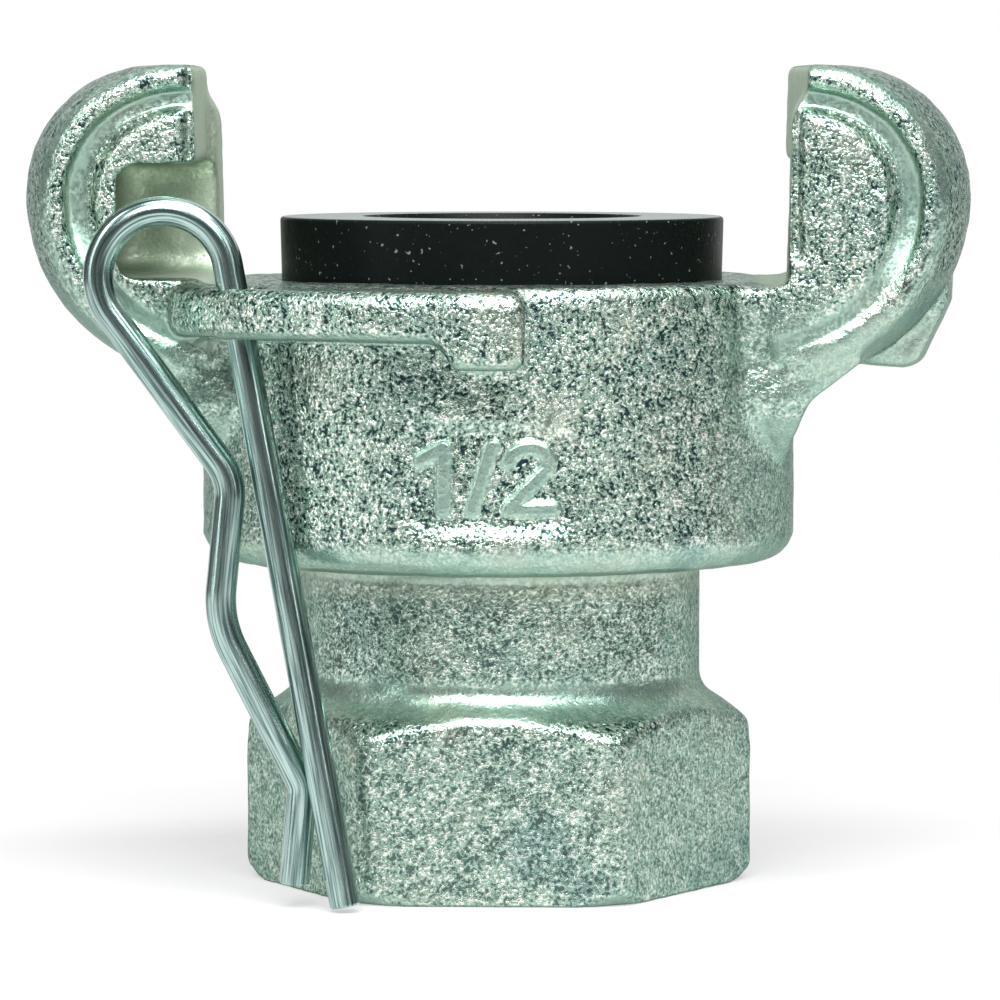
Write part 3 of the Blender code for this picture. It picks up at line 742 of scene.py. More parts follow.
@dataclass
class CastBody:
    """The casting, with webs under its claws, soft edges and the uneven skin of its mould.

    A zone is a soft region of the skin: its largest share, and bands that all have to hold. A
    band names a measure and the values between which it rises from 0 to 1. Where the first
    value is the larger one, it falls. Lengths are in mm there, turns in degrees.
    """

    node: str = "coupling_body"
    voxel: float = 0.30 * MM
    smoothing: int = 4
    wear: int = 20
    wear_steps: int = 10
    most_triangles: int = 188000
    head_radius: float = 22.0 * MM
    thread_radius: float = 9.3 * MM
    mouth_radius: float = 10.6 * MM
    thread_depth: float = 15.5 * MM
    sleeve_radius: float = 10.95 * MM
    # Shares of the bore's radius, its mouth's radius and its depth that hold its whole wall
    bore_margins: tuple[float, float, float] = (0.95, 1.01, 1.02)
    weld: float = 0.001 * MM
    wave: float = 2.2 * MM
    wave_height: float = 0.07 * MM
    wave_seed: float = 3.1
    lump: float = 1.0 * MM
    lump_height: float = 0.035 * MM
    claw_lump_height: float = 0.06 * MM
    lump_seed: float = 8.7
    least_lump: float = 0.25
    groove_calm: float = 0.7
    half_width: float = 13.0 * MM
    claw_middle_z: float = 51.1 * MM
    crown_x: float = 25.5 * MM
    crown_radius: float = 9.6 * MM
    belly_x: float = 21.6 * MM
    belly_radius: float = 13.5 * MM
    claw_edge: float = 1.0 * MM
    groove_depth: float = 1.15 * MM
    lip_x: float = 22.1 * MM
    lip_round: float = 1.2 * MM
    most_edge: float = 0.98
    foot_lift: float = 0.8 * MM
    shoulder_z: float = 14.6 * MM
    hole_place: tuple[float, float] = (18.2 * MM, 17.1 * MM)
    web_root_x: float = 15.0 * MM
    # Height, reach and half width of each section
    web_sections: tuple[tuple[float, float, float], ...] = (
        (44.6 * MM, 22.4 * MM, 12.8 * MM), (39.2 * MM, 26.9 * MM, 12.2 * MM),
        (36.4 * MM, 23.1 * MM, 12.6 * MM), (35.0 * MM, 22.4 * MM, 12.0 * MM),
        (33.6 * MM, 21.9 * MM, 10.3 * MM), (32.0 * MM, 21.3 * MM, 8.0 * MM),
        (30.5 * MM, 20.9 * MM, 5.5 * MM),
    )
    panel_middle_z: float = 31.2 * MM
    panel_half: tuple[float, float] = (6.45 * MM, 4.2 * MM)
    panel_inset: float = 0.2 * MM

    head_foot: Zone = (1.0, (("z", 19.0, 22.3), ("z", 26.6, 24.3), ("radius", 12, 13)))
    # Worn edges: the claws' lips, shoulder, panel, webs, webs' joints and the head's rim
    worn: tuple[Zone, ...] = (
        (1.0, (("across", 24.2, 23.2), ("z", 45.3, 46), ("across", 18, 19))),
        (1.0, (("z", 10, 11), ("z", 16, 15))),
        (1.0, (("panel", 1.1, 0.8), ("front", 15, 17))),
        (1.0, (("z", 40.5, 39.5), ("across", 20.5, 21.5), ("z", 29.5, 30.5))),
        (1.0, (
            ("across", 15.5, 16.5), ("across", 20, 19), ("z", 30, 32), ("z", 44, 43),
            ("depth", 10, 11), ("depth", 15.5, 15),
        )),
        (1.0, (("z", 43.3, 43.9), ("z", 45.9, 45.4), ("radius", 20, 21))),
    )
    ledge: Zone = (1.0, (("depth", 19, 21), ("z", 38.5, 39.5)))
    ledge_top: Zone = (1.0, (("z", 42.8, 43.4), ("hole", 2.5, 3.5)))
    ledge_wear: float = 0.35
    claw_end: Zone = (1.0, (("depth", 11.1, 11.5), ("endways", 0.3, 0.5), ("depth", 13.2, 13.1)))
    claw_side: Zone = (1.0, (("radius", 23.2, 24.2),))
    claw_top: Zone = (1.0, (("z", 45.5, 46.1),))
    groove: Zone = (1.0, (("inset", 1.3, 2.0), ("inset", 3.9, 2.9)))
    groove_floor: Zone = (1.0, (("inset", 1.4, 2.0), ("inset", 3.5, 2.9)))
    groove_shallow: Zone = (0.75, (("drop", 5, 38),))
    groove_end: Zone = (1.0, (("drop", 75, 50),))
    free_edge: Zone = (1.0, (("drop", 74, 62),))
    lip: Zone = (1.0, (("z", 45.9, 46.9),))
    off_outline: Zone = (1.0, (("inset", 0.1, 0.3),))
    inner_end: Zone = (1.0, (("inset", 0.8, 1.8),))
    end_face: Zone = (1.0, (("down", 0.8, 0.95), ("z", 1, 0.4)))
    # Smooth skin: undersides, the claws' rims, the head's foot, the claws' feet, the hexagon's
    # side flats, the waterway, the head's sides, neck, hexagon and the shoulder's fillet
    smooth: tuple[Zone, ...] = (
        (0.85, (("down", 0.25, 0.7),)),
        (0.6, (("end", 1.6, 0.8), ("inset", 0.7, 0.2), ("z", 40, 42))),
        (0.75, (("z", 26.7, 25.5), ("z", 22.8, 23.3))),
        (0.8, (("radius", 22, 24), ("z", 44.9, 40.9), ("across", 20, 24))),
        (0.4, (("sideways", 0.6, 0.8), ("z", 12.8, 11.8))),
        (0.6, (("radius", 15, 14), ("z", 30, 32))),
        (0.45, (("turn", 40, 62), ("z", 43.9, 41.9))),
        (0.2, (("z", 13, 15), ("z", 23.3, 22.3))),
        (0.22, (("z", 12.8, 10.8),)),
        (0.7, (("shoulder", 1.9, 1.0), ("radius", 17.5, 16.5))),
    )
    channel: Zone = (1.0, (("across", 18, 20), ("z", 43.9, 44.9)))
    hollow: Zone = (1.0, (("inset", 1.5, 2.5), ("depth", 10, 9)))
    lip_side: Zone = (1.0, (("inwards", 0.3, 0.7), ("depth", 12.4, 11.8)))
    neck_top: Zone = (0.35, (("z", 21, 23), ("z", 24.8, 23.8)))
    channel_smooth: float = 0.8
    channel_stain: float = 0.6

    def build(self, finish: bpy.types.Material) -> bpy.types.Object:
        """Build and dress the casting.

        Args:
            finish: the casting's material.

        Returns:
            The finished piece.
        """
        obj = link_object("cast_body", self.open_bore())
        remesh = obj.modifiers.new("skin", "REMESH")
        remesh.mode = "VOXEL"
        remesh.voxel_size = self.voxel
        smooth = obj.modifiers.new("edges", "SMOOTH")
        smooth.factor = 0.5
        smooth.iterations = self.smoothing
        bake_modifiers(obj)
        self.lift_head_foot(obj.data)
        self.wear_edges(obj)
        self.shape_claw_ends(obj.data)
        self.roughen(obj.data)
        triangles = sum(len(face.vertices) - 2 for face in obj.data.polygons)
        thin = obj.modifiers.new("thin", "DECIMATE")
        thin.ratio = min(1.0, self.most_triangles / triangles)
        bake_modifiers(obj)
        self.keep_in_box(obj.data)
        obj.data.shade_smooth()
        self.mark_zones(obj.data)
        dress(obj, finish, Body.COUPLING)
        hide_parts(self.node)
        return obj

    def open_bore(self) -> bpy.types.Mesh:
        """Widen the solid's bore for the threaded wall and add the webs.

        Returns:
            A merged copy of the solid's mesh.
        """
        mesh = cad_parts[self.node].data.copy()
        shell = bmesh.new()
        shell.from_mesh(mesh)
        bmesh.ops.remove_doubles(shell, verts=shell.verts, dist=self.weld)
        wall, mouth, end = self.bore_margins
        for vert in shell.verts:
            radius = math.hypot(vert.co.x, vert.co.y)
            in_bore = self.thread_radius * wall < radius < self.mouth_radius * mouth
            if in_bore and vert.co.z < self.thread_depth * end:
                vert.co.x *= self.sleeve_radius / radius
                vert.co.y *= self.sleeve_radius / radius
        for side in (-1, 1):
            self.add_web(shell, side)
        shell.to_mesh(mesh)
        shell.free()
        return mesh

    def add_web(self, shell: bmesh.types.BMesh, side: int) -> None:
        """Add the web that joins one claw's foot to the head, as a closed solid.

        Args:
            shell: the solid that takes it.
            side: 1 for the claw on the right, -1 for the one on the left.
        """
        root = self.web_root_x
        rings = []
        for z, reach, half in self.web_sections:
            corners = ((root, -half), (reach, -half), (reach, half), (root, half))
            rings.append([shell.verts.new((side * x, y, z)) for x, y in corners])
        faces = [shell.faces.new(rings[0]), shell.faces.new(rings[-1])]
        for above, below in zip(rings, rings[1:]):
            for i in range(4):
                j = (i + 1) % 4
                faces.append(shell.faces.new((above[i], above[j], below[j], below[i])))
        bmesh.ops.recalc_face_normals(shell, faces=faces)

    def measure(self, mesh: bpy.types.Mesh) -> dict[str, np.ndarray]:
        """Measure each vertex in the ways that the zones name.

        Args:
            mesh: the casting's mesh.

        Returns:
            One array for each measure: lengths in mm, turns in degrees, and how far the skin
            faces a direction as a share of 1.
        """
        points, normals = read_points(mesh), read_normals(mesh)
        x, y, z = points.T
        across, depth, radius = np.abs(x), np.abs(y), np.hypot(x, y)
        hole_x, hole_y = self.hole_place
        panel_across, panel_up = self.panel_half
        beyond = np.maximum(
            np.abs(self.head_radius * np.arctan2(x, -y)) - panel_across,
            np.abs(z - self.panel_middle_z) - panel_up,
        )
        rise = z - self.claw_middle_z
        crown = self.crown_radius - np.hypot(np.maximum(radius - self.crown_x, 0.0), rise)
        belly = self.belly_radius - np.hypot(radius - self.belly_x, rise)
        lengths = {
            "z": z, "across": across, "depth": depth, "radius": radius, "front": -y,
            "panel": np.abs(beyond + self.panel_inset),
            "hole": np.hypot(across - hole_x, depth - hole_y),
            "end": np.abs(self.half_width - depth),
            "shoulder": np.abs(z - self.shoulder_z),
            "inset": np.where(rise > 0, crown, belly),
        }
        return {name: length / MM for name, length in lengths.items()} | {
            "turn": np.degrees(np.arctan2(across, depth)),
            "drop": -np.degrees(np.arctan2(rise, radius - self.belly_x)),
            "down": -normals[:, 2],
            "sideways": np.abs(normals[:, 0]),
            "endways": np.abs(normals[:, 1]),
            "inwards": -normals[:, 0] * np.sign(x),
        }

    @staticmethod
    def cover(at: dict[str, np.ndarray], *zones: Zone) -> np.ndarray:
        """Find how much of each vertex lies in any of some zones.

        Args:
            at: the measures of the vertices.
            zones: the zones.

        Returns:
            The largest share for each vertex.
        """
        shares = []
        for most, bands in zones:
            inside = [ease(at[name], low, high) for name, low, high in bands]
            shares.append(np.prod(inside, axis=0) * most)
        return np.maximum.reduce(shares)

    def lift_head_foot(self, mesh: bpy.types.Mesh) -> None:
        """Raise the head's lower edge a little and keep the panel where it is.

        Args:
            mesh: the casting's mesh.
        """
        points = read_points(mesh)
        points[:, 2] += self.foot_lift * self.cover(self.measure(mesh), self.head_foot)
        write_points(mesh, points)

    def keep_in_box(self, mesh: bpy.types.Mesh) -> None:
        """Hold every vertex inside the box of the solid."""
        low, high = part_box(self.node)
        write_points(mesh, np.clip(read_points(mesh), np.array(low), np.array(high)))

    def wear_edges(self, obj: bpy.types.Object) -> None:
        """Round the edges that the mould left soft, the ledges' tops more than their feet.

        Args:
            obj: the casting.
        """
        at = self.measure(obj.data)
        ledges = self.ledge_wear + (1 - self.ledge_wear) * self.cover(at, self.ledge_top)
        weights = np.maximum(self.cover(at, *self.worn), self.cover(at, self.ledge) * ledges)
        group = obj.vertex_groups.new(name="worn")
        for step in range(1, self.wear_steps + 1):
            chosen = np.flatnonzero(np.round(weights * self.wear_steps) == step)
            group.add(chosen.tolist(), step / self.wear_steps, "REPLACE")
        smooth = obj.modifiers.new("worn edges", "SMOOTH")
        smooth.factor = 0.5
        smooth.iterations = self.wear
        smooth.vertex_group = group.name
        bake_modifiers(obj)
        obj.vertex_groups.clear()

    def end_share(self, at: dict[str, np.ndarray]) -> np.ndarray:
        """Find the flat ends of the claws, where the ridge and groove run.

        Args:
            at: the measures of the vertices.

        Returns:
            1 on the ends, else 0.
        """
        outside = self.cover(at, self.claw_side, self.claw_top)
        return outside * self.cover(at, self.claw_end)

    def shape_claw_ends(self, mesh: bpy.types.Mesh) -> None:
        """Give the claws' ends their soft ridge and the wide smooth groove inside it.

        Args:
            mesh: the casting's mesh.
        """
        points, at = read_points(mesh), self.measure(mesh)
        fade = (1 - self.cover(at, self.groove_shallow)) * self.cover(at, self.groove_end)
        free_edge = self.cover(at, self.free_edge)
        from_edge = (at["inset"] * MM / self.claw_edge, free_edge)
        from_lip = ((at["across"] * MM - self.lip_x) / self.lip_round, self.cover(at, self.lip))
        edge, lip = (
            1 - np.sqrt(1 - (np.clip(1 - distance, 0.0, self.most_edge) * share) ** 2)
            for distance, share in (from_edge, from_lip)
        )
        depth = self.claw_edge * edge + self.cover(at, self.groove) * self.groove_depth * fade
        depth = np.maximum(depth, self.lip_round * lip)
        share = self.end_share(at) * self.cover(at, self.off_outline)
        share *= np.maximum(free_edge, self.cover(at, self.inner_end))
        target = np.sign(points[:, 1]) * (self.half_width - depth)
        points[:, 1] += (target - points[:, 1]) * share
        write_points(mesh, points)

    def smooth_share(self, at: dict[str, np.ndarray]) -> np.ndarray:
        """Find where the skin is smooth.

        Args:
            at: the measures of the vertices.

        Returns:
            From 0 for full grain to 1, for each vertex.
        """
        groove = self.cover(at, self.groove_floor) * self.end_share(at)
        return np.maximum(self.cover(at, *self.smooth, self.end_face), groove)

    def roughen(self, mesh: bpy.types.Mesh) -> None:
        """Give the skin the slow waves and lumps of the mould.

        Args:
            mesh: the casting's mesh.
        """
        points, normals, at = read_points(mesh), read_normals(mesh), self.measure(mesh)
        ends = self.end_share(at)
        grain = self.least_lump + (1 - self.least_lump) * (1 - self.smooth_share(at))
        height = self.lump_height * grain + self.claw_lump_height * ends
        height *= 1 - self.groove_calm * self.cover(at, self.groove_floor) * ends
        rise = mould_noise(points, self.wave, self.wave_seed) * self.wave_height
        rise += mould_noise(points, self.lump, self.lump_seed) * height
        rise *= 1 - self.cover(at, self.end_face)
        write_points(mesh, points + normals * rise[:, None])

    def mark_zones(self, mesh: bpy.types.Mesh) -> None:
        """Store the masks that the finish reads.

        Args:
            mesh: the casting's mesh.
        """
        at = self.measure(mesh)
        facing_in = self.cover(at, self.hollow, self.lip_side) * self.cover(at, self.channel)
        smooth = np.maximum(self.smooth_share(at), facing_in * self.channel_smooth)
        stain = np.maximum(facing_in * self.channel_stain, self.cover(at, self.neck_top))
        write_mask(mesh, "smooth_skin", smooth)
        write_mask(mesh, "stain", stain)


@dataclass
class SizeMark:
    """The plain raised numerals 1/2 in the panel, for the half-inch thread."""

    floor_radius: float = 21.55 * MM
    sink: float = 0.07 * MM
    back_depth: float = 0.6 * MM
    centre_z: float = 31.2 * MM
    half_width: float = 5.6 * MM
    half_height: float = 3.4 * MM
    spacing: float = 0.09 * MM
    height: float = 0.44 * MM
    crest_half_width: float = 0.26 * MM
    foot_half_width: float = 0.92 * MM
    smooth: float = 0.8
    smooth_from: tuple[float, float] = (0.2, 0.8)
    paths: tuple[tuple[tuple[float, float], ...], ...] = (
        ((-4.85, 1.35), (-3.25, 2.25), (-3.15, 2.3), (-3.2, -2.2)),
        ((0.3, 2.4), (-1.15, -2.2)),
        (
            (1.45, 1.3), (1.75, 1.85), (2.4, 2.2), (3.2, 2.28), (3.95, 2.0), (4.35, 1.35),
            (4.2, 0.75), (3.7, 0.2), (2.7, -0.75), (1.6, -1.95), (1.5, -2.15), (4.55, -2.1),
        ),
    )

    def strokes(self) -> list[np.ndarray]:
        """Return the centre lines of the strokes, across and up from the panel's middle."""
        return [np.array(path) * MM for path in self.paths]

    def build(self, finish: bpy.types.Material) -> bpy.types.Object:
        """Build and dress the numerals.

        Args:
            finish: the casting's material.

        Returns:
            The finished piece.
        """
        across = np.arange(-self.half_width, self.half_width, self.spacing)
        up = np.arange(-self.half_height, self.half_height, self.spacing)
        flat = np.array([(u, v) for v in up for u in across])
        gap = np.minimum.reduce([distance_to_path(flat, path) for path in self.strokes()])
        relief = self.height * (1 - ease(gap, self.crest_half_width, self.foot_half_width))
        front = self.floor_radius - self.sink + relief
        back = np.full(len(flat), self.floor_radius - self.back_depth)
        turn = flat[:, 0] / self.floor_radius
        layers = []
        for radius in (front, back):
            z = self.centre_z + flat[:, 1]
            layers.append(np.column_stack((radius * np.sin(turn), -radius * np.cos(turn), z)))
        points = np.vstack(layers)
        mesh = mesh_from("size_mark", points, self.closed_faces(len(up), len(across)))
        obj = link_object("size_mark", mesh)
        stroke = np.concatenate((relief, relief * 0)) / self.height
        write_mask(mesh, "smooth_skin", ease(stroke, *self.smooth_from) * self.smooth)
        write_mask(mesh, "stain", np.zeros(len(mesh.vertices)))
        dress(obj, finish, Body.COUPLING)
        return obj

    def closed_faces(self, rows: int, columns: int) -> list[tuple[int, ...]]:
        """Join the front, the back and the four walls between them.

        Args:
            rows: the rows of vertices in the front and in the back.
            columns: the vertices in a row.

        Returns:
            The faces, with the back's vertices numbered after the front's.
        """
        count = rows * columns
        front = grid_faces(rows, columns, False, False)
        back = [tuple(i + count for i in reversed(face)) for face in front]
        rim = [i for i in range(columns)]
        rim += [row * columns + columns - 1 for row in range(1, rows)]
        rim += [(rows - 1) * columns + i for i in range(columns - 2, -1, -1)]
        rim += [row * columns for row in range(rows - 2, 0, -1)]
        walls = []
        for here, there in zip(rim, rim[1:] + rim[:1]):
            walls.append((here, there, there + count, here + count))
        return front + back + walls


@dataclass
class PipeThread:
    """The half-inch pipe thread in the hexagon, with its countersunk mouth."""

    pitch: float = 1.814 * MM
    crest_radius: float = 9.3 * MM
    root_radius: float = 10.45 * MM
    face_radius: float = 12.2 * MM
    wall_radius: float = 10.9 * MM
    mouth_chamfer: float = 1.3 * MM
    length: float = 15.45 * MM
    flat_share: float = 0.08
    rows_a_turn: int = 12
    around: int = 96
    merge: float = 0.002 * MM
    sharp: float = math.radians(40)

    def tree(self, finish: bpy.types.Material, sizes: dict[str, float | int]) -> bpy.types.NodeTree:
        """Wind the thread in a geometry tree: a flat grid, rolled up with its rows at the depth
        of the thread, then closed at the hexagon's face and in the wall.

        Args:
            finish: the thread's material.
            sizes: the sizes that the tree takes as inputs.

        Returns:
            A tree with a named input for each size.
        """
        tree = new_tree("pipe_thread", sizes)
        group = add_node(tree, "NodeGroupInput").outputs
        made = {name: group[name] for name in sizes}
        counts = {"Vertices X": made["Around"], "Vertices Y": made["Rows"]}
        grid = add_node(
            tree, "GeometryNodeMeshGrid", {"Size X": 1.0, "Size Y": 1.0} | counts
        ).outputs["Mesh"]
        position = add_node(tree, "GeometryNodeInputPosition").outputs[0]
        flat = add_node(tree, "ShaderNodeSeparateXYZ", {0: position}).outputs
        made |= {"flat x": flat["X"], "flat y": flat["Y"]}
        kinds = {"MAP": "ShaderNodeMapRange", "MIX": "ShaderNodeMix"}
        # Each sum: the name of its result, its kind, and its terms as numbers or earlier names.
        # Ten turns more keep the phase positive
        for name, kind, *terms in (
            ("last", "SUBTRACT", "Rows", 1.0),
            ("row share", "ADD", "flat y", 0.5),
            ("row", "MULTIPLY", "row share", "last"),
            ("turns", "ADD", "flat x", 0.5),
            ("inner rows", "SUBTRACT", "Rows", 3.0),
            ("down share", "MAP", "row", 1.0, "inner rows"),
            ("closing row", "SUBTRACT", "last", 0.5),
            ("closing", "GREATER_THAN", "row", "closing row"),
            ("open", "SUBTRACT", 1.0, "closing"),
            ("share", "MULTIPLY", "down share", "open"),
            ("z", "MULTIPLY", "share", "Length"),
            ("pitches", "DIVIDE", "z", "Pitch"),
            ("wound", "SUBTRACT", "pitches", "turns"),
            ("ahead", "ADD", "wound", 10.0),
            ("phase", "FRACT", "ahead"),
            ("centred", "MULTIPLY_ADD", "phase", 2.0, -1.0),
            ("slope", "ABSOLUTE", "centred"),
            ("cut", "MAP", "slope", self.flat_share, 1 - self.flat_share, "Crest", "Root"),
            ("mouth rim", "ADD", "Crest", "Chamfer"),
            ("mouth", "SUBTRACT", "mouth rim", "z"),
            ("thread", "MAXIMUM", "cut", "mouth"),
            ("first", "LESS_THAN", "row", 0.5),
            ("at face", "MAXIMUM", "first", "closing"),
            ("deep row", "SUBTRACT", "last", 1.5),
            ("deep", "GREATER_THAN", "row", "deep row"),
            ("walled", "MIX", "deep", None, "thread", "Wall"),
            ("radius", "MIX", "at face", None, "walled", "Face"),
            ("angle", "MULTIPLY", "turns", math.tau),
            ("cosine", "COSINE", "angle"),
            ("sine", "SINE", "angle"),
            ("x", "MULTIPLY", "radius", "cosine"),
            ("y", "MULTIPLY", "radius", "sine"),
        ):
            inputs = {i: made.get(term, term) for i, term in enumerate(terms) if term is not None}
            settings = {} if kind in kinds else {"operation": kind}
            node = add_node(tree, kinds.get(kind, "ShaderNodeMath"), inputs, **settings)
            made[name] = node.outputs[0]
        place = add_node(
            tree, "ShaderNodeCombineXYZ", {axis.upper(): made[axis] for axis in "xyz"}
        ).outputs[0]
        wound = add_node(
            tree, "GeometryNodeSetPosition", {"Geometry": grid, "Position": place}
        ).outputs[0]
        merged = add_node(
            tree, "GeometryNodeMergeByDistance", {"Geometry": wound, "Distance": self.merge}
        ).outputs[0]
        close_tree(tree, merged, finish)
        return tree

    def build(self, finish: bpy.types.Material) -> bpy.types.Object:
        """Build and dress the threaded wall.

        Args:
            finish: the thread's material.

        Returns:
            The finished piece.
        """
        # Four more rows close the wall: at the face, in the depth, behind and at the face again
        rows = int(self.length / self.pitch * self.rows_a_turn) + 4
        sizes = {
            "Pitch": self.pitch, "Crest": self.crest_radius, "Root": self.root_radius,
            "Face": self.face_radius, "Wall": self.wall_radius, "Chamfer": self.mouth_chamfer,
            "Length": self.length, "Rows": rows, "Around": self.around + 1,
        }
        blank = bpy.data.meshes.new("pipe_thread")
        obj = run_tree("pipe_thread", self.tree(finish, sizes), sizes, blank)
        face_out(obj.data)
        obj.data.set_sharp_from_angle(angle=self.sharp)
        dress(obj, finish, Body.COUPLING)
        return obj


@dataclass
class SealingWasher:
    """The rubber washer in the head's seat, turned from its moulded profile."""

    node: str = "sealing_washer"
    radius: float = 16.5 * MM
    rim_radius: float = 16.35 * MM
    bore: float = 9.5 * MM
    foot_z: float = 39.9 * MM
    top_z: float = 49.5 * MM
    flange: float = 0.9 * MM
    flange_height: float = 3.0 * MM
    bore_chamfer: float = 1.2 * MM
    edge_radius: float = 0.3 * MM
    around: int = 240
    edge_steps: int = 6
    # Towards +X, within the seat's clearance of 0.3 mm
    seat_shift: float = 0.25 * MM
    wall_heights: tuple[float, ...] = (2.0 * MM, 3.0 * MM, 4.0 * MM, 4.6 * MM, 5.0 * MM)
    top_shares: tuple[float, ...] = (0.2, 0.4, 0.6, 0.8, 1.0)
    sharp: float = math.radians(38)

    def profile(self) -> list[tuple[float, float]]:
        """Draw the section.

        Returns:
            Radius and height of each point, from the foot round the outside.
        """
        flange_z = self.foot_z + self.flange_height
        points = [
            (self.bore + self.bore_chamfer, self.foot_z),
            (self.radius + self.flange, self.foot_z),
            (self.radius + self.flange, flange_z),
            (self.rim_radius, flange_z + self.flange),
        ]
        for height in self.wall_heights:
            share = height / (self.top_z - self.edge_radius - flange_z - self.flange)
            radius = self.rim_radius + (self.radius - self.rim_radius) * min(share, 1.0)
            points.append((radius, flange_z + self.flange + height))
        for step in range(self.edge_steps + 1):
            angle = math.pi / 2 * step / self.edge_steps
            inset = self.edge_radius
            points.append((
                self.radius - inset + inset * math.cos(angle),
                self.top_z - inset + inset * math.sin(angle),
            ))
        inner, outer = self.bore + self.bore_chamfer, self.radius - self.edge_radius
        for share in self.top_shares:
            points.append((outer + (inner - self.radius) * share, self.top_z))
        points.append((self.bore, self.top_z - self.bore_chamfer))
        points.append((self.bore, self.foot_z + self.bore_chamfer))
        return points

    def build(self, finish: bpy.types.Material) -> bpy.types.Object:
        """Build and dress the washer.

        Args:
            finish: the rubber's material.

        Returns:
            The finished piece.
        """
        profile = self.profile()
        turns = np.linspace(0, math.tau, self.around, endpoint=False)
        rows = []
        for radius, z in profile:
            rows.append(np.column_stack((
                radius * np.cos(turns) + self.seat_shift,
                radius * np.sin(turns),
                np.full(self.around, z),
            )))
        faces = grid_faces(len(profile), self.around, True, True)
        mesh = mesh_from(self.node, np.vstack(rows), faces)
        mesh.set_sharp_from_angle(angle=self.sharp)
        obj = link_object("washer", mesh)
        dress(obj, finish, Body.COUPLING)
        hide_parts(self.node)
        return obj


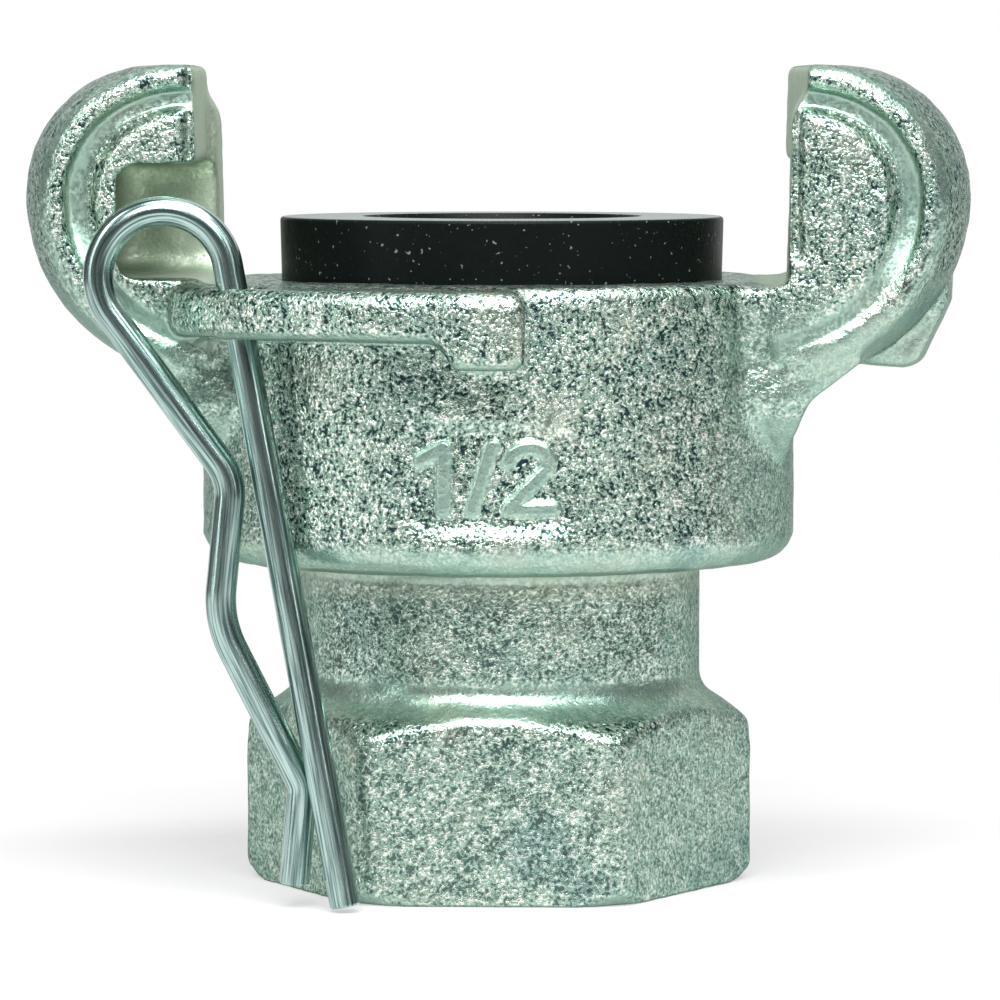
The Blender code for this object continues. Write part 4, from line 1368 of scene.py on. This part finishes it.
@dataclass
class SafetyClip:
    """The clip bent from one round wire, with a straight leg, a loop and a bowed leg."""

    node: str = "safety_clip"
    wire_radius: float = 1.1 * MM
    hole: Point = (-18.2 * MM, -17.139415 * MM, 42.9 * MM)
    floor_gap: float = 0.2 * MM
    lean_side: float = math.radians(10.5)
    lean_forward: float = math.atan((19.24 - 17.139415) / 42.9)
    loop_radius: float = 4.7 * MM
    loop_height: float = 3.5 * MM
    leg_gap: float = 0.3 * MM
    pinch_depth: float = 11.7 * MM
    bulge: float = 5.3 * MM
    bulge_depth: float = 21.5 * MM
    crossing: float = 1.6 * MM
    crossing_depth: float = 34.3 * MM
    tip: float = 3.5 * MM
    tip_depth: float = 41.2 * MM
    pinch_radius: float = 4.0 * MM
    bulge_radius: float = 8.0 * MM
    crossing_radius: float = 2.2 * MM
    bulge_behind: float = 0.1
    tip_behind: float = 1.15
    loop_steps: int = 72
    bend_steps: int = 14
    most_trim: float = 0.49
    around: int = 28
    cut_edge: float = 0.14 * MM
    stretch: float = 0.03
    sharp: float = math.radians(35)

    def rounded(self, corners: list[tuple[Vector, float]]) -> list[Vector]:
        """Return a path whose corners are rounded.

        Args:
            corners: each corner with the radius of its bend.

        Returns:
            The points of the path.
        """
        points = [corners[0][0]]
        for (before, _), (corner, radius), (after, _) in zip(corners, corners[1:], corners[2:]):
            back, ahead = before - corner, after - corner
            half_angle = back.angle(ahead) / 2
            longest = self.most_trim * min(back.length, ahead.length)
            trim = min(radius / math.tan(half_angle), longest)
            radius = trim * math.tan(half_angle)
            start = corner + back.normalized() * trim
            end = corner + ahead.normalized() * trim
            middle = (back.normalized() + ahead.normalized()).normalized()
            centre = corner + middle * (radius / math.sin(half_angle))
            first, last = start - centre, end - centre
            turn = first.angle(last)
            for step in range(self.bend_steps + 1):
                share = step / self.bend_steps
                spoke = first * math.sin((1 - share) * turn) + last * math.sin(share * turn)
                points.append(centre + spoke / math.sin(turn))
        points.append(corners[-1][0])
        return points

    def path(self) -> list[Vector]:
        """Lay the wire's centre line.

        Returns:
            Its points in world metres, from the straight leg's foot.
        """
        gap = 2 * self.wire_radius + self.leg_gap
        behind = math.sqrt(gap**2 - self.crossing**2)
        loop = Vector((-self.loop_radius, 0.0, self.loop_height))
        pinch = Vector((-gap, 0.0, -self.pinch_depth))
        reach = pinch - loop
        leave = math.atan2(reach.z, reach.x) - math.acos(self.loop_radius / reach.length) + math.tau
        lean = math.cos(self.lean_side) * math.cos(self.lean_forward)
        sink = self.wire_radius * math.sin(math.acos(lean))
        points = [Vector((0.0, 0.0, -(self.hole[2] - self.floor_gap - sink) / lean))]
        for step in range(self.loop_steps + 1):
            angle = leave * step / self.loop_steps
            points.append(loop + Vector((math.cos(angle), 0.0, math.sin(angle))) * self.loop_radius)
        bow = self.rounded([
            (points[-1], 0.0),
            (pinch, self.pinch_radius),
            (
                Vector((-self.bulge, self.bulge_behind * behind, -self.bulge_depth)),
                self.bulge_radius,
            ),
            (Vector((-self.crossing, behind, -self.crossing_depth)), self.crossing_radius),
            (Vector((-self.tip, self.tip_behind * behind, -self.tip_depth)), 0.0),
        ])
        points += bow[1:]
        forward = Matrix.Rotation(-self.lean_forward, 4, "X")
        matrix = Matrix.Translation(self.hole) @ forward @ Matrix.Rotation(-self.lean_side, 4, "Y")
        return [matrix @ point for point in points]

    def path_mesh(self) -> bpy.types.Mesh:
        """Turn the centre line into a mesh.

        Returns:
            A chain of edges, with the wire's width at each vertex.
        """
        path = self.path()
        points = [path[0], path[0] + (path[1] - path[0]).normalized() * self.cut_edge]
        points += path[1:-1]
        points += [path[-1] + (path[-2] - path[-1]).normalized() * self.cut_edge, path[-1]]
        mesh = bpy.data.meshes.new(self.node)
        mesh.from_pydata(points, [(i, i + 1) for i in range(len(points) - 1)], [])
        width = mesh.attributes.new("width", "FLOAT", "POINT")
        shares = [1.0] * len(points)
        shares[0] = shares[-1] = 1 - self.cut_edge / self.wire_radius
        width.data.foreach_set("value", shares)
        return mesh

    def tree(self, finish: bpy.types.Material) -> bpy.types.NodeTree:
        """Return the geometry tree that sweeps the wire along its centre line.

        Args:
            finish: the wire's material.

        Returns:
            A tree with named inputs for the wire's radius and fineness.
        """
        tree = new_tree("bent_wire", {"Radius": self.wire_radius, "Around": self.around})
        sizes = add_node(tree, "NodeGroupInput").outputs
        curve = add_node(tree, "GeometryNodeMeshToCurve", {0: sizes["Geometry"]}).outputs[0]
        width = add_node(
            tree, "GeometryNodeInputNamedAttribute", {"Name": "width"}, data_type="FLOAT"
        ).outputs[0]
        curve = add_node(
            tree, "GeometryNodeSetCurveRadius", {"Curve": curve, "Radius": width}
        ).outputs[0]
        # The wire remembers where each point lies along and around it, for its drawn streaks
        circle = add_node(
            tree, "GeometryNodeCurvePrimitiveCircle",
            {"Resolution": sizes["Around"], "Radius": sizes["Radius"]}, mode="RADIUS",
        ).outputs["Curve"]
        along = add_node(tree, "GeometryNodeSplineParameter").outputs["Length"]
        rail = add_node(tree, "GeometryNodeCaptureAttribute")
        rail.capture_items.new("FLOAT", "Along")
        tree.links.new(curve, rail.inputs["Geometry"])
        tree.links.new(along, rail.inputs["Along"])
        spoke = add_node(tree, "GeometryNodeInputPosition").outputs[0]
        ring = add_node(tree, "GeometryNodeCaptureAttribute")
        ring.capture_items.new("VECTOR", "Spoke")
        tree.links.new(circle, ring.inputs["Geometry"])
        tree.links.new(spoke, ring.inputs["Spoke"])
        wire = add_node(
            tree, "GeometryNodeCurveToMesh",
            {
                "Curve": rail.outputs["Geometry"], "Profile Curve": ring.outputs["Geometry"],
                "Scale": width, "Fill Caps": True,
            },
        ).outputs[0]
        around = add_node(tree, "ShaderNodeSeparateXYZ", {0: ring.outputs["Spoke"]}).outputs
        terms = {0: rail.outputs["Along"], 1: self.stretch}
        stretched = add_node(tree, "ShaderNodeMath", terms, operation="MULTIPLY").outputs[0]
        drawn = add_node(
            tree, "ShaderNodeCombineXYZ", {"X": around["X"], "Y": around["Y"], "Z": stretched}
        ).outputs[0]
        stored = add_node(
            tree, "GeometryNodeStoreNamedAttribute",
            {"Geometry": wire, "Name": "drawn", "Value": drawn},
            data_type="FLOAT_VECTOR", domain="POINT",
        ).outputs[0]
        close_tree(tree, stored, finish)
        return tree

    def build(self, finish: bpy.types.Material) -> bpy.types.Object:
        """Build and dress the clip.

        Args:
            finish: the wire's material.

        Returns:
            The finished piece.
        """
        values = {"Radius": self.wire_radius, "Around": self.around}
        obj = run_tree("bent_wire_clip", self.tree(finish), values, self.path_mesh())
        face_out(obj.data)
        obj.data.set_sharp_from_angle(angle=self.sharp)
        dress(obj, finish, Body.CLIP)
        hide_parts(self.node)
        return obj


@dataclass(frozen=True)
class Softbox:
    """One soft lamp of the studio."""

    name: str
    place: Point
    width: float
    height: float
    power: float
    aim: Point = (0.0, 0.0, 0.03)

    def build(self) -> bpy.types.Object:
        """Hang the lamp.

        Returns:
            The lamp, turned towards its aim.
        """
        lamp = bpy.data.lights.new(self.name, "AREA")
        lamp.shape = "RECTANGLE"
        lamp.size = self.width
        lamp.size_y = self.height
        lamp.energy = self.power
        obj = bpy.data.objects.new(self.name, lamp)
        bpy.context.scene.collection.objects.link(obj)
        obj.location = self.place
        ahead = Vector(self.aim) - Vector(self.place)
        obj.rotation_euler = ahead.to_track_quat("-Z", "Y").to_euler()
        return obj


@dataclass
class Studio:
    """Camera, floor, white surroundings and lamps."""

    azimuth: float = math.radians(2.0)
    distance: float = 0.430
    eye_z: float = 58.5 * MM
    aim_z: float = 28.3 * MM
    aim_right: float = 0.11 * MM
    sensor: float = 36.0
    pixel: float = 0.0746 * MM
    picture: int = 1000
    shift: float = -0.12
    clip_start: float = 0.01
    floor_radius: float = 3.0
    floor_sides: int = 96
    fill: float = 0.55
    card_radius: float = 0.52
    card_turn: float = math.radians(130)
    card_low: float = 0.0
    card_high: float = 0.50
    card_top: float = 0.62
    card_front: float = 0.03
    card_side: float = 0.21
    card_sides: int = 48
    card_hole: float = 0.05
    card_full: float = math.radians(35)
    top_shade: float = 0.5
    lamps: tuple[Softbox, ...] = (
        Softbox("key", (0.02, -0.35, 0.36), 0.40, 0.20, 3.4),
        Softbox("top", (0.05, -0.12, 0.48), 0.40, 0.14, 2.5),
        Softbox("high right", (0.36, -0.20, 0.40), 0.12, 0.20, 0.3),
        Softbox("high left", (-0.38, -0.18, 0.40), 0.12, 0.20, 0.6),
        Softbox("right", (0.34, -0.36, 0.16), 0.05, 0.30, 0.18),
        Softbox("left", (-0.40, -0.22, 0.14), 0.08, 0.30, 0.3),
    )

    def build(self) -> None:
        """Build the whole studio."""
        self.camera()
        self.floor()
        self.surroundings()
        self.card()
        for lamp in self.lamps:
            lamp.build()
        bpy.context.scene.view_settings.view_transform = "Standard"
        LOG.info("studio: camera, floor, card and %d lamps", len(self.lamps))

    def camera(self) -> None:
        """Stand the camera where the picture was taken from."""
        data = bpy.data.cameras.new("camera")
        obj = bpy.data.objects.new("camera", data)
        bpy.context.scene.collection.objects.link(obj)
        right = Vector((math.cos(self.azimuth), math.sin(self.azimuth), 0.0))
        back = Vector((math.sin(self.azimuth), -math.cos(self.azimuth), 0.0))
        obj.location = back * self.distance + Vector((0.0, 0.0, self.eye_z))
        drop = self.shift * self.picture * self.pixel
        aim = right * self.aim_right + Vector((0.0, 0.0, self.aim_z - drop))
        obj.rotation_euler = (aim - obj.location).to_track_quat("-Z", "Y").to_euler()
        reach = (aim - obj.location).length
        data.sensor_width = self.sensor
        data.lens = self.sensor * reach / (self.picture * self.pixel)
        data.shift_y = self.shift
        data.clip_start = self.clip_start
        bpy.context.scene.camera = obj

    def floor(self) -> None:
        """Lay the floor just under the casting."""
        turns = np.linspace(0, math.tau, self.floor_sides, endpoint=False)
        rim = np.column_stack((np.cos(turns), np.sin(turns), np.zeros(self.floor_sides)))
        mesh = bpy.data.meshes.new("floor")
        mesh.from_pydata((rim * self.floor_radius).tolist(), [], [tuple(range(self.floor_sides))])
        mesh.materials.append(PaleFloor().build())
        link_object("floor", mesh)

    def surroundings(self) -> None:
        """Surround the part with white that lights it softly."""
        world = bpy.data.worlds.new("white surroundings")
        world.use_nodes = True
        tree = world.node_tree
        strength = add_node(
            tree, "ShaderNodeMapRange",
            {"Value": seen_rays(tree), "To Min": self.fill, "To Max": 1.0},
        ).outputs["Result"]
        tree.nodes["Background"].inputs["Color"].default_value = (1.0, 1.0, 1.0, 1.0)
        tree.links.new(strength, tree.nodes["Background"].inputs["Strength"])
        bpy.context.scene.world = world

    def card(self) -> None:
        """Stand a dark hood in front and above, so that the metal has something dark to show."""
        sides = self.card_sides
        turns = np.linspace(-self.card_turn, self.card_turn, sides)
        ring = np.column_stack((np.sin(turns), -np.cos(turns)))
        shade = 1 - ease(np.abs(turns), self.card_full, self.card_turn)
        rows, shades = [], []
        rings = ((1.0, self.card_low), (1.0, self.card_high), (self.card_hole, self.card_top))
        for share, z in rings:
            rows.append(np.column_stack((ring * self.card_radius * share, np.full(sides, z))))
            shades.append(shade * share + self.top_shade * (1 - share))
        mesh = bpy.data.meshes.new("dark_card")
        mesh.from_pydata(np.vstack(rows).tolist(), [], grid_faces(len(rings), sides, False, False))
        write_mask(mesh, "front", np.concatenate(shades))
        material, tree, shader = new_material("dark card")
        tree.nodes.remove(shader)
        front = add_node(tree, "ShaderNodeAttribute", attribute_name="front").outputs["Fac"]
        strength = add_node(
            tree, "ShaderNodeMapRange",
            {"Value": front, "To Min": self.card_side, "To Max": self.card_front},
        ).outputs["Result"]
        glow = add_node(tree, "ShaderNodeEmission", {"Strength": strength}).outputs[0]
        tree.links.new(glow, tree.nodes["Material Output"].inputs["Surface"])
        mesh.materials.append(material)
        obj = link_object("dark_card", mesh)
        obj.visible_camera = False
        obj.visible_diffuse = False
        obj.visible_shadow = False


def main() -> None:
    """Build every piece in order and report it."""
    logging.basicConfig(level=logging.INFO, format="%(message)s")
    cast = CastZinc().build()
    CastBody().build(cast)
    SizeMark().build(cast)
    PipeThread().build(CutZinc().build())
    SealingWasher().build(MouldedRubber().build())
    SafetyClip().build(SpringWire().build())
    Studio().build()


if __name__ == "__main__":
    main()
